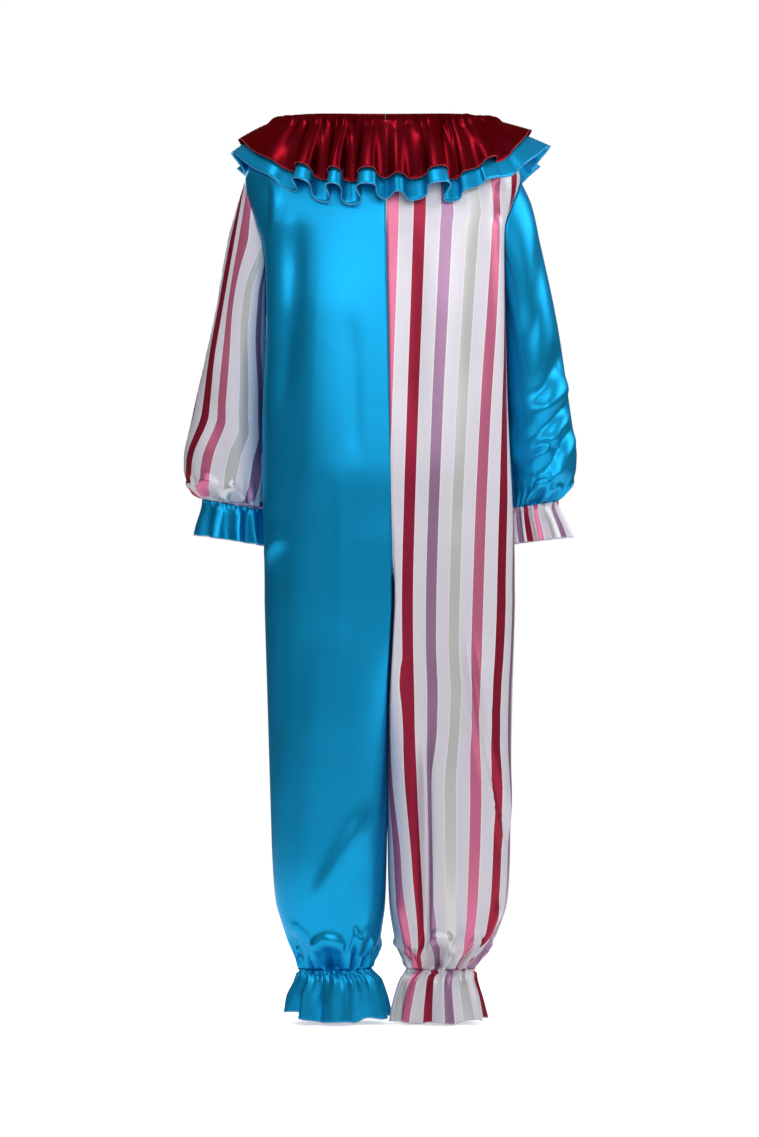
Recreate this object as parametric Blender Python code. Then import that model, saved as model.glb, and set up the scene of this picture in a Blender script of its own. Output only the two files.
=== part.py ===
"""A two-colour clown jumpsuit with a double ruffled collar, hollow, as it hangs on a general figure.

Metres, +Z up. -Y is the back of the suit, where the collar opens, and +X is the wearer's right.
The origin is the middle of the neck seam at the back, the height at which the shoulders carry the suit.
Every piece of cloth is a wall between an outer surface, worked out from the tables, and the same surface moved in.
"""

import math
from collections import namedtuple

import bmesh
import bpy
from mathutils import Vector

# Cloth and seams
WALL = 0.0015  # thickness of a cloth wall
CASING_WALL = 0.0024  # the folded neck casing with its elastic
SEAM_GAP = 0.0003  # clear gap between two pieces along a seam
CREASE_LIMIT = 0.55  # pieces share a wall direction at a seam unless it is creased more sharply than this cosine

# Heights of the cut, from the neck seam
SHOULDER = -0.092  # shoulder point, the top of the armhole
UNDERARM = -0.262  # bottom of the armhole
CROTCH = -0.784
CROTCH_RISE = 0.110  # height over which the centre seam curves under to the crotch
HIP_BLEND = 0.165  # how far above the crotch the seat starts to part into the legs
ANKLE = -1.438  # line of the ankle elastic
ANKLE_HEM = -1.528
WRIST = -0.646  # line of the wrist elastic
CUFF_HEM = -0.707

# Neck
NECK_LIFT = 0.013  # how far the shoulders lift the neck seam at its sides
NECK_DIP = 0.024  # how much lower the neck seam is in front than at the back
NECK_FADE = 0.10  # depth below the neck over which both fade out
CASING_HEIGHT = 0.013
ARMHOLE_BACK = 0.060  # how far the armhole reaches behind and before the shoulder seam
ARMHOLE_FRONT = 0.054

# Numbers of facets
BACK_COLUMNS, FRONT_COLUMNS, GATHER_COLUMNS = 10, 8, 16
ARMHOLE_STEPS = 8  # along each half of the armhole
WRIST_COLUMNS = 32
RUFFLE_COLUMNS = 42

Torso = namedtuple("Torso", "level middle left right back front widest_y square")
Legs = namedtuple("Legs", "level middle gap left right back front square")
Sleeve = namedtuple("Sleeve", "level outer inner middle_y depth")
Fold = namedtuple("Fold", "side face wrap drift top bottom width depth")
SleeveFold = namedtuple("SleeveFold", "side angle drift top bottom width depth")
Collar = namedtuple("Collar", "azimuth out drop")
CollarFold = namedtuple("CollarFold", "azimuth reach")

# Half-widths and depths of the torso. widest_y is where a section is widest, and square is 1 for an ellipse and less
# for a squarer section.
TORSO = (
    Torso(0.000, -0.003, 0.162, 0.162, 0.105, 0.100, 0.000, 1.00),
    Torso(-0.030, -0.003, 0.193, 0.191, 0.111, 0.106, 0.000, 0.92),
    Torso(-0.060, -0.003, 0.222, 0.219, 0.117, 0.111, 0.000, 0.78),
    Torso(SHOULDER, -0.003, 0.240, 0.236, 0.122, 0.115, 0.000, 0.62),
    Torso(-0.170, -0.002, 0.222, 0.219, 0.128, 0.120, -0.008, 0.56),
    Torso(UNDERARM, 0.000, 0.206, 0.203, 0.126, 0.121, -0.030, 0.60),
    Torso(-0.350, 0.002, 0.209, 0.201, 0.121, 0.119, -0.040, 0.62),
    Torso(-0.473, 0.004, 0.215, 0.201, 0.117, 0.116, -0.042, 0.62),
    Torso(-0.643, 0.007, 0.219, 0.207, 0.118, 0.110, -0.032, 0.62),
    Torso(-0.740, 0.009, 0.219, 0.209, 0.115, 0.106, -0.018, 0.64),
    Torso(CROTCH, 0.010, 0.219, 0.209, 0.112, 0.105, -0.008, 0.66),
)

# The two legs and their ankle ruffles. left and right are the outer sides, and gap is half the space between the legs.
LEGS = (
    Legs(-0.674, 0.0100, 0.0000, 0.2090, 0.2180, 0.118, 0.108, 0.64),
    Legs(CROTCH, 0.0103, 0.0000, 0.2090, 0.2185, 0.112, 0.105, 0.66),
    Legs(-0.813, 0.0105, 0.0008, 0.2090, 0.2190, 0.110, 0.103, 0.67),
    Legs(-0.983, 0.0022, 0.0008, 0.2040, 0.2140, 0.102, 0.098, 0.70),
    Legs(-1.153, 0.0012, 0.0008, 0.1990, 0.2110, 0.097, 0.096, 0.73),
    Legs(-1.255, 0.0005, 0.0010, 0.1955, 0.2100, 0.095, 0.095, 0.76),
    Legs(-1.323, 0.0004, 0.0032, 0.1900, 0.2057, 0.092, 0.092, 0.80),
    Legs(-1.357, 0.0004, 0.0068, 0.1810, 0.1970, 0.087, 0.087, 0.83),
    Legs(-1.391, 0.0016, 0.0136, 0.1690, 0.1830, 0.076, 0.076, 0.87),
    Legs(-1.416, 0.0026, 0.0246, 0.1570, 0.1650, 0.061, 0.061, 0.92),
    Legs(ANKLE, 0.0034, 0.0335, 0.1480, 0.1480, 0.047, 0.047, 0.96),
    Legs(-1.459, 0.0060, 0.0190, 0.1520, 0.1500, 0.056, 0.056, 0.96),
    Legs(-1.493, 0.0060, 0.0110, 0.1640, 0.1580, 0.065, 0.065, 0.96),
    Legs(ANKLE_HEM, 0.0060, 0.0080, 0.1660, 0.1640, 0.071, 0.071, 0.96),
)

# Each sleeve and its cuff ruffle, a tube with an outer and an inner side, and its middle and half-depth front to back.
SLEEVES = {
    -1: (
        Sleeve(SHOULDER, 0.243, 0.150, 0.000, 0.062),
        Sleeve(-0.167, 0.266, 0.186, 0.004, 0.060),
        Sleeve(-0.234, 0.280, 0.197, 0.011, 0.057),
        Sleeve(-0.303, 0.291, 0.202, 0.019, 0.055),
        Sleeve(-0.371, 0.306, 0.206, 0.027, 0.056),
        Sleeve(-0.439, 0.322, 0.209, 0.033, 0.058),
        Sleeve(-0.507, 0.337, 0.210, 0.038, 0.061),
        Sleeve(-0.560, 0.348, 0.209, 0.041, 0.063),
        Sleeve(-0.595, 0.349, 0.208, 0.046, 0.062),
        Sleeve(-0.620, 0.341, 0.209, 0.048, 0.056),
        Sleeve(-0.636, 0.329, 0.211, 0.050, 0.046),
        Sleeve(WRIST, 0.315, 0.213, 0.052, 0.036),
        Sleeve(-0.662, 0.316, 0.213, 0.055, 0.040),
        Sleeve(-0.688, 0.322, 0.211, 0.058, 0.045),
        Sleeve(CUFF_HEM, 0.325, 0.208, 0.060, 0.049),
    ),
    1: (
        Sleeve(SHOULDER, 0.238, 0.150, 0.000, 0.062),
        Sleeve(-0.133, 0.254, 0.172, 0.002, 0.061),
        Sleeve(-0.200, 0.266, 0.191, 0.007, 0.058),
        Sleeve(-0.303, 0.286, 0.198, 0.019, 0.055),
        Sleeve(-0.371, 0.298, 0.200, 0.027, 0.056),
        Sleeve(-0.439, 0.308, 0.202, 0.033, 0.058),
        Sleeve(-0.507, 0.318, 0.206, 0.038, 0.061),
        Sleeve(-0.560, 0.326, 0.210, 0.041, 0.063),
        Sleeve(-0.595, 0.324, 0.212, 0.046, 0.062),
        Sleeve(-0.620, 0.313, 0.213, 0.048, 0.056),
        Sleeve(-0.636, 0.302, 0.213, 0.050, 0.046),
        Sleeve(WRIST, 0.293, 0.213, 0.052, 0.036),
        Sleeve(-0.662, 0.297, 0.213, 0.055, 0.040),
        Sleeve(-0.688, 0.309, 0.214, 0.060, 0.045),
        Sleeve(CUFF_HEM, 0.316, 0.216, 0.063, 0.049),
    ),
}
SLEEVE_FADE = 0.50  # share of a sleeve's length over which it leaves the armhole's own outline
WRIST_TILT = {-1: 0.009, 1: 0.006}  # how much higher the outer end of the wrist line is than its middle

# The largest folds. wrap is the place across a panel, 0 at its inner edge and 1 at its side seam, and drift how far it
# moves on the way down. A positive depth is a ridge and a negative one a trough.
FOLDS = (
    Fold(-1, -1, 0.80, 0.02, -0.070, -0.300, 0.070, 0.0060),
    Fold(-1, -1, 0.48, -0.04, -0.170, -0.600, 0.130, -0.0055),
    Fold(-1, -1, 0.22, 0.05, -0.240, -0.760, 0.120, 0.0045),
    Fold(-1, -1, 0.66, -0.06, -0.820, -1.340, 0.110, 0.0050),
    Fold(1, -1, 0.84, 0.02, -0.070, -0.290, 0.060, 0.0060),
    Fold(1, -1, 0.38, -0.05, -0.200, -0.640, 0.120, -0.0050),
    Fold(1, -1, 0.68, 0.02, -0.300, -0.760, 0.110, 0.0045),
    Fold(1, -1, 0.60, 0.24, -0.860, -1.280, 0.075, 0.0080),
    Fold(1, -1, 0.32, 0.06, -1.040, -1.400, 0.080, -0.0060),
    Fold(-1, 1, 0.55, -0.10, -0.190, -0.640, 0.120, 0.0060),
    Fold(-1, 1, 0.30, 0.08, -0.520, -1.020, 0.120, -0.0055),
    Fold(-1, 1, 0.62, -0.12, -0.900, -1.340, 0.110, 0.0060),
    Fold(1, 1, 0.45, 0.12, -0.200, -0.600, 0.120, 0.0060),
    Fold(1, 1, 0.66, -0.14, -0.560, -1.060, 0.110, -0.0055),
    Fold(1, 1, 0.36, 0.10, -0.920, -1.360, 0.110, 0.0060),
)

# Folds of the sleeves. angle runs round the sleeve from the outer side over the back, in degrees.
SLEEVE_FOLDS = (
    SleeveFold(-1, 62, -12, -0.330, -0.625, 20, 0.0050),
    SleeveFold(-1, 100, 10, -0.200, -0.480, 22, -0.0045),
    SleeveFold(-1, 250, 25, -0.260, -0.600, 24, 0.0050),
    SleeveFold(1, 96, -50, -0.190, -0.520, 22, 0.0050),
    SleeveFold(1, 58, -20, -0.360, -0.600, 18, -0.0050),
    SleeveFold(1, 270, 20, -0.240, -0.600, 24, 0.0050),
)

# Gathers at the elastic, and waves of the ruffles below it, counted round a whole leg or sleeve
ANKLE_GATHERS, ANKLE_WAVES = 16, 10
WRIST_GATHERS, WRIST_WAVES = 16, 10
GATHER_DEPTH = 0.0030
ANKLE_WAVE_DEPTH = 0.0095
CUFF_WAVE_DEPTH = 0.0065
ANKLE_GATHER_REACH = 0.13  # how far up the cloth its gathers run
WRIST_GATHER_REACH = 0.09

# How far the hem of the collar's under layer stands out and drops from the neck, by azimuth from the centre back
COLLAR = (
    Collar(0, 0.062, 0.132),
    Collar(35, 0.070, 0.125),
    Collar(60, 0.082, 0.098),
    Collar(90, 0.094, 0.062),
    Collar(115, 0.096, 0.092),
    Collar(145, 0.078, 0.116),
    Collar(180, 0.066, 0.126),
)
TOP_LENGTH = 0.83  # the top layer against the under one
LAYER_GAP = 0.0075  # how far the top layer stands out from the under one
RIGHT_SPREAD = 0.14  # how much further the collar stands out over the right shoulder
# The ruffles stand up a little on the shoulders, where the top one is also shorter
RIGHT_LIFT, LEFT_LIFT, LIFT_REACH = 0.014, 0.008, 20.0  # metres, metres, degrees round the neck
RIGHT_SHORT, LEFT_SHORT = 0.12, 0.04  # shares of the collar's length
COLLAR_ROWS = (0.0, 0.10, 0.36, 0.68, 1.0)
COLLAR_WAVE_OUT = 0.013  # the most a fold of the hem moves in or out, and up or down
COLLAR_WAVE_UP = 0.012
COLLAR_GATHER = 0.0015  # what is left of the folds where the ruffle is sewn on
COLLAR_OPENING = 0.9  # degrees from the centre back to each end of the ruffle
COLLAR_STEPS = 3  # facets from a crest of the ruffle to the next trough
TOP_SEAM, UNDER_SEAM = 0.0098, 0.0034  # heights at which the layers are sewn on, above the neck seam
HEADING = 0.0040  # how far the top layer stands up before it falls

# Crests (1) and troughs (-1) of the collar at the back, by azimuth; the front follows a rule.
BACK_COLLAR_FOLDS = (
    CollarFold(-90.0, 0.3),
    CollarFold(-62.0, 0.2),
    CollarFold(-47.0, -0.7),
    CollarFold(-40.5, 0.9),
    CollarFold(-30.6, -1.0),
    CollarFold(-24.3, 0.9),
    CollarFold(-17.1, -1.0),
    CollarFold(-8.3, 1.0),
    CollarFold(0.0, -0.5),
    CollarFold(5.6, 0.3),
    CollarFold(13.5, -0.6),
    CollarFold(25.8, 1.0),
    CollarFold(33.1, -1.0),
    CollarFold(42.0, -0.1),
    CollarFold(51.5, 0.9),
    CollarFold(58.5, -0.5),
    CollarFold(74.0, 0.3),
    CollarFold(90.0, 0.6),
)
FRONT_WAVES = 9
FRONT_REACHES = (0.9, -0.55, 1.0, -0.4)

BLUE = (0.006, 0.300, 0.560, 1.0)
BURGUNDY = (0.170, 0.006, 0.014, 1.0)
STRIPED = (0.780, 0.740, 0.820, 1.0)  # the striped satin's white ground


def smooth(x):
    """0 up to 0, 1 from 1, and a soft step between."""
    x = min(1.0, max(0.0, x))
    return x * x * (3 - 2 * x)


def sampled(table, key):
    """The row of a table at any key, on smooth curves through its rows. The first column is the key."""
    rows = sorted(table)
    key = min(max(key, rows[0][0]), rows[-1][0])
    i = next(i for i in range(len(rows) - 1) if key <= rows[i + 1][0])
    before, low, high, after = rows[max(i - 1, 0)], rows[i], rows[i + 1], rows[min(i + 2, len(rows) - 1)]
    span = high[0] - low[0]
    t = (key - low[0]) / span
    values = [key]
    for a, b, c, d in zip(before[1:], low[1:], high[1:], after[1:]):
        rise = c - b
        slope_b = span * (c - a) / max(high[0] - before[0], 1e-9)
        slope_c = span * (d - b) / max(after[0] - low[0], 1e-9)
        slope_b = 0.0 if slope_b * rise <= 0 else math.copysign(min(abs(slope_b), 3 * abs(rise)), rise)
        slope_c = 0.0 if slope_c * rise <= 0 else math.copysign(min(abs(slope_c), 3 * abs(rise)), rise)
        shape = (2 * t - 3) * t * t
        values.append(
            b * (1 + shape) - c * shape + slope_b * t * (1 - t) ** 2 - slope_c * t * t * (1 - t)
        )
    return type(low)(*values)


def torso_turn(level, y):
    """The turn, 0 at the centre back and 2 at the centre front, at which a torso section has this y."""
    s = sampled(TORSO, level)
    if y <= s.widest_y:
        reach = (s.widest_y - y) / (s.back + s.widest_y)
        return math.acos(min(1.0, reach) ** (1 / s.square)) / (math.pi / 2)
    reach = (y - s.widest_y) / (s.front - s.widest_y)
    return 2 - math.acos(min(1.0, reach) ** (1 / s.square)) / (math.pi / 2)


def torso_point(side, turn, level):
    s = sampled(TORSO, level)
    angle = turn * math.pi / 2
    across, along = max(0.0, math.sin(angle)) ** s.square, abs(math.cos(angle)) ** s.square
    half = s.left if side < 0 else s.right
    y = s.widest_y - (s.back + s.widest_y) * along if turn < 1 else s.widest_y + (s.front - s.widest_y) * along
    fade = smooth(1 + level / NECK_FADE)
    height = level + fade * (NECK_LIFT * math.sin(angle) ** 2 - NECK_DIP * (1 - math.cos(angle)) / 2)
    return Vector((s.middle + side * half * across, y, height))


def ring_wave(angle, gathers, phase):
    """A wave round a whole leg or sleeve, a little uneven, and the same where the ring closes."""
    return math.cos(gathers * angle + phase + 0.9 * math.sin(2 * angle + phase) + 0.5 * math.sin(3 * angle))


def leg_ripple(side, angle, level):
    """How far the gathers over the ankle, or the waves of its ruffle, move the cloth out."""
    above = smooth(1 - (level - ANKLE) / ANKLE_GATHER_REACH)
    gathers = GATHER_DEPTH * above ** 1.5 * ring_wave(angle, ANKLE_GATHERS, side)
    below = smooth((ANKLE - level) / (ANKLE - ANKLE_HEM))
    return gathers * (1 - below) + ANKLE_WAVE_DEPTH * below * ring_wave(angle, ANKLE_WAVES, side)


def leg_point(side, face, wrap, level):
    """A point of a leg or its ruffle, wrap 0 at the inseam and 1 at the outer side, over the back or the front."""
    s = sampled(LEGS, level)
    inner = side * s.middle + s.gap
    outer = s.left if side < 0 else s.right
    angle = wrap * math.pi
    depth = s.back if face < 0 else s.front
    half = (outer - inner) / 2
    across = math.copysign(abs(math.cos(angle)) ** s.square, math.cos(angle))
    ripple = leg_ripple(side, face * angle, level)
    radial = 1 + ripple / ((half + depth) / 2)
    return Vector(
        (
            side * ((inner + outer) / 2 - half * across * radial),
            face * depth * max(0.0, math.sin(angle)) ** s.square * radial,
            level,
        )
    )


def fold_push(side, face, wrap, level):
    """How far the largest folds move a panel's cloth out at this place."""
    push = 0.0
    for fold in FOLDS:
        if (fold.side, fold.face) != (side, face):
            continue
        down = (fold.top - level) / (fold.top - fold.bottom)
        if 0 < down < 1:
            off = (wrap - fold.wrap - fold.drift * down) / fold.width
            push += fold.depth * math.sin(math.pi * down) ** 0.8 * math.exp(-off * off)
    return push * smooth(wrap / 0.14) * smooth((1 - wrap) / 0.14)


def body_point(side, face, wrap, level, edge_y=0.0):
    """A point of a body panel. edge_y is where its side edge lies, front to back."""
    edge = torso_turn(level, edge_y)
    turn = wrap * edge if face < 0 else 2 - wrap * (2 - edge)
    under = min(1.0, max(0.0, (CROTCH + CROTCH_RISE - level) / CROTCH_RISE))
    share = 1 - math.sqrt(1 - under * under)
    share += (smooth((CROTCH + HIP_BLEND - level) / (1.3 * HIP_BLEND)) - share) * smooth(wrap / 0.45)
    if share < 1:
        point = torso_point(side, turn, level)
        if share > 0:
            point = point.lerp(leg_point(side, face, wrap, level), share)
    else:
        point = leg_point(side, face, wrap, level)
    push = fold_push(side, face, wrap, level)
    axis_x = side * 0.11 * (share + (1 - share) * math.sin(min(turn, 2 - turn) * math.pi / 2))
    outwards = Vector((point.x - axis_x, point.y, 0)).normalized()
    return point + push * outwards


def armhole_level(angle):
    """Height of the armhole at an angle from its top, in radians."""
    return (SHOULDER + UNDERARM) / 2 + (SHOULDER - UNDERARM) / 2 * math.cos(angle)


def armhole_y(angle):
    reach = ARMHOLE_BACK if math.sin(angle) > 0 else ARMHOLE_FRONT
    return -reach * math.sin(angle)


def body_rows(side, face):
    """The rows of one body panel from the ankle up, each from its inner edge to its side edge."""
    coarse = BACK_COLUMNS if face < 0 else FRONT_COLUMNS
    gathered = [ANKLE, -1.4295, -1.416, -1.398, -1.372, -1.335]
    leg = [-1.290, -1.220, -1.140, -1.060, -0.985, -0.910, -0.850, -0.810]
    crotch = [CROTCH + CROTCH_RISE * (1 - t) for t in (1.0, 0.93, 0.75, 0.50, 0.25, 0.0)]
    torso = [-0.620, -0.550, -0.480, -0.410, -0.345, -0.295]
    armhole = [math.pi * (1 - i / ARMHOLE_STEPS) for i in range(ARMHOLE_STEPS + 1)]
    rows = []
    for level in gathered + leg + crotch + torso:
        count = GATHER_COLUMNS if level in gathered else coarse
        rows.append([body_point(side, face, i / count, level) for i in range(count + 1)])
    for angle in armhole:
        edge = armhole_y(-face * angle) if 0 < angle < math.pi else 0.0
        level = armhole_level(angle)
        rows.append([body_point(side, face, i / coarse, level, edge) for i in range(coarse + 1)])
    for level in (-0.070, -0.048, -0.030, -0.014, 0.0):
        rows.append([body_point(side, face, i / coarse, level) for i in range(coarse + 1)])
    return rows


def sleeve_push(side, angle, level):
    """How far the folds and gathers of a sleeve move its cloth out."""
    degrees = math.degrees(angle) % 360
    push = 0.0
    for fold in SLEEVE_FOLDS:
        down = (fold.top - level) / (fold.top - fold.bottom)
        if fold.side == side and 0 < down < 1:
            off = (degrees - fold.angle - fold.drift * down + 180) % 360 - 180
            push += fold.depth * math.sin(math.pi * down) ** 0.8 * math.exp(-((off / fold.width) ** 2))
    above = smooth(1 - (level - WRIST) / WRIST_GATHER_REACH)
    gathers = GATHER_DEPTH * above ** 1.5 * ring_wave(angle, WRIST_GATHERS, 1 + side)
    below = smooth((WRIST - level) / (WRIST - CUFF_HEM))
    waves = CUFF_WAVE_DEPTH * ring_wave(angle, WRIST_WAVES, 1 + side)
    return push + gathers * (1 - below) + waves * below


def tube_point(side, angle, level):
    """A point of a sleeve's tube or its cuff, angle 0 at the outer side and 90 degrees at the back."""
    s = sampled(SLEEVES[side], level)
    half = (s.outer - s.inner) / 2
    radial = 1 + sleeve_push(side, angle, level) / ((half + s.depth) / 2)
    tilt = WRIST_TILT[side] * smooth((-0.50 - level) / 0.12)
    return Vector(
        (
            side * ((s.outer + s.inner) / 2 + half * radial * math.cos(angle)),
            s.middle_y - s.depth * radial * math.sin(angle),
            level + tilt * math.cos(angle),
        )
    )


def armhole_point(side, angle):
    level = armhole_level(angle)
    face = -1 if math.sin(angle) >= 0 else 1
    edge = 0.0 if abs(math.sin(angle)) < 1e-9 else armhole_y(angle)
    return body_point(side, face, 1.0, level, edge)


def sleeve_point(side, angle, down):
    """A point of a sleeve, down 0 at the armhole and 1 at the wrist elastic."""
    top = armhole_level(angle)
    point = tube_point(side, angle, top + down * (WRIST - top))
    left = max(0.0, 1 - down / SLEEVE_FADE) ** 2
    return point + left * (armhole_point(side, angle) - tube_point(side, angle, top))


def sleeve_rows(side):
    """Closed rings from the armhole down to the wrist."""
    rows = []
    for down, count in (
        (0.0, 16), (0.07, 16), (0.15, 16), (0.24, 16), (0.34, 16), (0.45, 16), (0.56, 16), (0.67, 16), (0.77, 16),
        (0.86, WRIST_COLUMNS), (0.92, WRIST_COLUMNS), (0.96, WRIST_COLUMNS), (1.0, WRIST_COLUMNS),
    ):
        angles = [2 * math.pi * i / count for i in range(count)]
        rows.append([sleeve_point(side, angle, down) for angle in angles])
    return rows


def cuff_rows(side):
    rows = []
    for share in (0.0, 0.25, 0.6, 1.0):
        count = WRIST_COLUMNS if share == 0 else RUFFLE_COLUMNS
        level = WRIST + share * (CUFF_HEM - WRIST)
        rows.append([tube_point(side, 2 * math.pi * i / count, level) for i in range(count)])
    return rows


def ankle_rows(side):
    """Closed rings of an ankle ruffle, from the elastic down to the hem."""
    rows = []
    for share in (0.0, 0.2, 0.5, 1.0):
        count = 2 * GATHER_COLUMNS if share == 0 else RUFFLE_COLUMNS
        level = ANKLE + share * (ANKLE_HEM - ANKLE)
        ring = []
        for i in range(count):
            wrap = 2 * i / count
            ring.append(leg_point(side, -1, wrap, level) if wrap <= 1 else leg_point(side, 1, 2 - wrap, level))
        rows.append(ring)
    return rows


def neck_point(azimuth, height):
    """A point of the neck line, azimuth in degrees from the centre back towards the wearer's right."""
    side = 1 if azimuth % 360 <= 180 else -1
    turn = min(azimuth % 360, 360 - azimuth % 360) / 90
    return torso_point(side, turn, 0.0) + Vector((0, 0, height))


def neck_outwards(azimuth):
    ahead, behind = neck_point(azimuth + 1, 0), neck_point(azimuth - 1, 0)
    along = ahead - behind
    return Vector((along.y, -along.x, 0)).normalized()


def collar_folds():
    """All crests and troughs round the collar, from just past the centre back, right round to it again."""
    back = [CollarFold(f.azimuth % 360, f.reach) for f in BACK_COLLAR_FOLDS]
    count = 2 * FRONT_WAVES
    front = [
        CollarFold(90 + 180 * i / count, FRONT_REACHES[i % len(FRONT_REACHES)]) for i in range(1, count)
    ]
    return sorted(f for f in back + front if 0 < f.azimuth < 360)


def collar_stations():
    """Azimuth and reach of each column of the collar."""
    centre = next(f.reach for f in BACK_COLLAR_FOLDS if f.azimuth == 0)
    ends = [CollarFold(COLLAR_OPENING, centre), CollarFold(360 - COLLAR_OPENING, centre)]
    folds = [ends[0], *collar_folds(), ends[1]]
    stations = []
    for low, high in zip(folds, folds[1:]):
        for step in range(COLLAR_STEPS):
            t = step / COLLAR_STEPS
            stations.append(
                (low.azimuth + t * (high.azimuth - low.azimuth), low.reach + smooth(t) * (high.reach - low.reach))
            )
    return stations + [tuple(folds[-1])]


def collar_point(layer, azimuth, reach, row):
    """A point of a collar layer, row 0 at the neck and 1 at the hem."""
    s = sampled(COLLAR, min(azimuth, 360 - azimuth))
    grown = smooth(row / 0.1) * (COLLAR_GATHER / COLLAR_WAVE_OUT + (1 - COLLAR_GATHER / COLLAR_WAVE_OUT) * row ** 1.3)
    outwards = SEAM_GAP + COLLAR_WAVE_OUT * reach * grown
    rise = UNDER_SEAM + COLLAR_WAVE_UP * reach * grown
    right = math.exp(-(((azimuth - 88) / LIFT_REACH) ** 2))
    left = math.exp(-(((azimuth - 272) / LIFT_REACH) ** 2))
    rise += (RIGHT_LIFT * right + LEFT_LIFT * left) * row ** 1.5
    if layer == "top":
        outwards += LAYER_GAP * smooth(row / 0.2)
        rise += TOP_SEAM - UNDER_SEAM + HEADING * math.sin(math.pi * min(1.0, row / 0.3))
        row *= TOP_LENGTH - RIGHT_SHORT * right - LEFT_SHORT * left
    spread = RIGHT_SPREAD * max(0.0, math.sin(math.radians(azimuth))) ** 2
    outwards += s.out * (1 + spread) * row ** 0.78
    rise -= s.drop * row ** 1.25
    return neck_point(azimuth, rise) + outwards * neck_outwards(azimuth)


def collar_rows(layer):
    return [[collar_point(layer, azimuth, reach, row) for azimuth, reach in collar_stations()] for row in COLLAR_ROWS]


def casing_rows():
    """The neck casing: a narrow band that stands on the neck seam, open at the centre back."""
    count = 2 * (BACK_COLUMNS + FRONT_COLUMNS)
    azimuths = [COLLAR_OPENING + (360 - 2 * COLLAR_OPENING) * i / count for i in range(count + 1)]
    return [[neck_point(azimuth, height) for azimuth in azimuths] for height in (SEAM_GAP, CASING_HEIGHT)]


class Panel:
    """One piece of cloth as rows of outer points. Closed rows are rings. seams says which edges meet other pieces."""

    def __init__(self, name, rows, closed=False, seams=(), wall=WALL, colour=BLUE, level_edge=False):
        self.name, self.rows, self.closed, self.wall, self.colour = name, rows, closed, wall, colour
        self.seams = set(seams)
        self.level_edge = level_edge  # a ruffle sewn on edge-on, so that its wall goes straight down there
        self.points = [p for row in rows for p in row]
        starts = [0]
        for row in rows:
            starts.append(starts[-1] + len(row))
        self.starts = starts
        self.faces = [f for i in range(len(rows) - 1) for f in self.strip(i)]

    def strip(self, i):
        """Faces between two rows, which may have different numbers of points: quads where the points pair up."""
        low, high = self.starts[i], self.starts[i + 1]
        extra = 1 if self.closed else 0
        n, m = len(self.rows[i]) - 1 + extra, len(self.rows[i + 1]) - 1 + extra
        a, b, faces = 0, 0, []
        while a < n or b < m:
            a1, b1 = min(a + 1, n), min(b + 1, m)
            p, p1 = low + a % len(self.rows[i]), low + a1 % len(self.rows[i])
            q, q1 = high + b % len(self.rows[i + 1]), high + b1 % len(self.rows[i + 1])
            if a < n and b < m and a1 * m == b1 * n:
                faces.append((p, p1, q1, q))
                a, b = a1, b1
            elif b >= m or (a < n and a1 * m < b1 * n):
                faces.append((p, p1, q))
                a = a1
            else:
                faces.append((p, q1, q))
                b = b1
        return faces

    def own_normals(self):
        normals = [Vector() for _ in self.points]
        for face in self.faces:
            corners = [self.points[i] for i in face]
            area = Vector()
            for a, b in zip(corners[1:], corners[2:]):
                area += (a - corners[0]).cross(b - corners[0])
            for i in face:
                normals[i] += area
        return normals

    def place_in(self, row, share):
        """The point of a row at a share of its length in facets."""
        points = self.rows[row]
        at = share * (len(points) if self.closed else len(points) - 1)
        i = int(at)
        return points[i % len(points)].lerp(points[(i + 1) % len(points)], at - i)

    def pulled_points(self):
        """The points, with those on a seam pulled in by half the seam's gap."""
        points = [p.copy() for p in self.points]
        step = SEAM_GAP / 2
        last = len(self.rows) - 1
        for row, inner, edge in ((0, 1, "first"), (last, last - 1, "last")):
            if edge in self.seams:
                count = len(self.rows[row]) - (0 if self.closed else 1)
                for i, p in enumerate(self.rows[row]):
                    towards = (self.place_in(inner, i / count) - p).normalized()
                    points[self.starts[row] + i] += step * towards
        for edge, at, beside in (("inner", 0, 1), ("side", -1, -2)):
            if edge in self.seams:
                for r, row in enumerate(self.rows):
                    index = self.starts[r] + (at if at == 0 else len(row) - 1)
                    points[index] += step * (row[beside] - row[at]).normalized()
        return points

    def boundary(self):
        """The piece's open edges, as loops of point numbers, in the faces' own direction."""
        first = list(range(self.starts[0], self.starts[1]))
        last = list(range(self.starts[-2], self.starts[-1]))
        if self.closed:
            return [first, last[::-1]]
        left = [self.starts[r] for r in range(len(self.rows))]
        right = [self.starts[r] + len(row) - 1 for r, row in enumerate(self.rows)]
        return [first + right[1:] + last[-2::-1] + left[-2:0:-1]]


def place_key(point):
    return tuple(round(c * 1e6) for c in point)


def shared_normals(panels):
    """Adds up the normals of all pieces that meet at a point."""
    total = {}
    for panel in panels:
        for point, normal in zip(panel.points, panel.own_normals()):
            total[place_key(point)] = total.get(place_key(point), Vector()) + normal
    return total


def wall_directions(panel, total):
    """The way from the outside to the inside of the wall at each point."""
    directions = []
    for point, own in zip(panel.points, panel.own_normals()):
        own = own.normalized()
        shared = total.get(place_key(point), own).normalized()
        if own.dot(shared) <= CREASE_LIMIT:
            shared = own
            if abs(point.y) < 1e-6:
                shared = Vector((own.x, 0, own.z)).normalized()  # the crotch, whose crease crosses the inseam
        directions.append(-shared)
    if panel.level_edge:
        directions[:panel.starts[1]] = [Vector((0, 0, -1)) for _ in panel.rows[0]]
    return directions


def cloth_material(name, colour):
    material = bpy.data.materials.get(name) or bpy.data.materials.new(name)
    material.use_nodes = True
    shader = material.node_tree.nodes["Principled BSDF"]
    shader.inputs["Base Color"].default_value = colour
    shader.inputs["Roughness"].default_value = 0.38
    shader.inputs["Metallic"].default_value = 0.0
    return material


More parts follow.
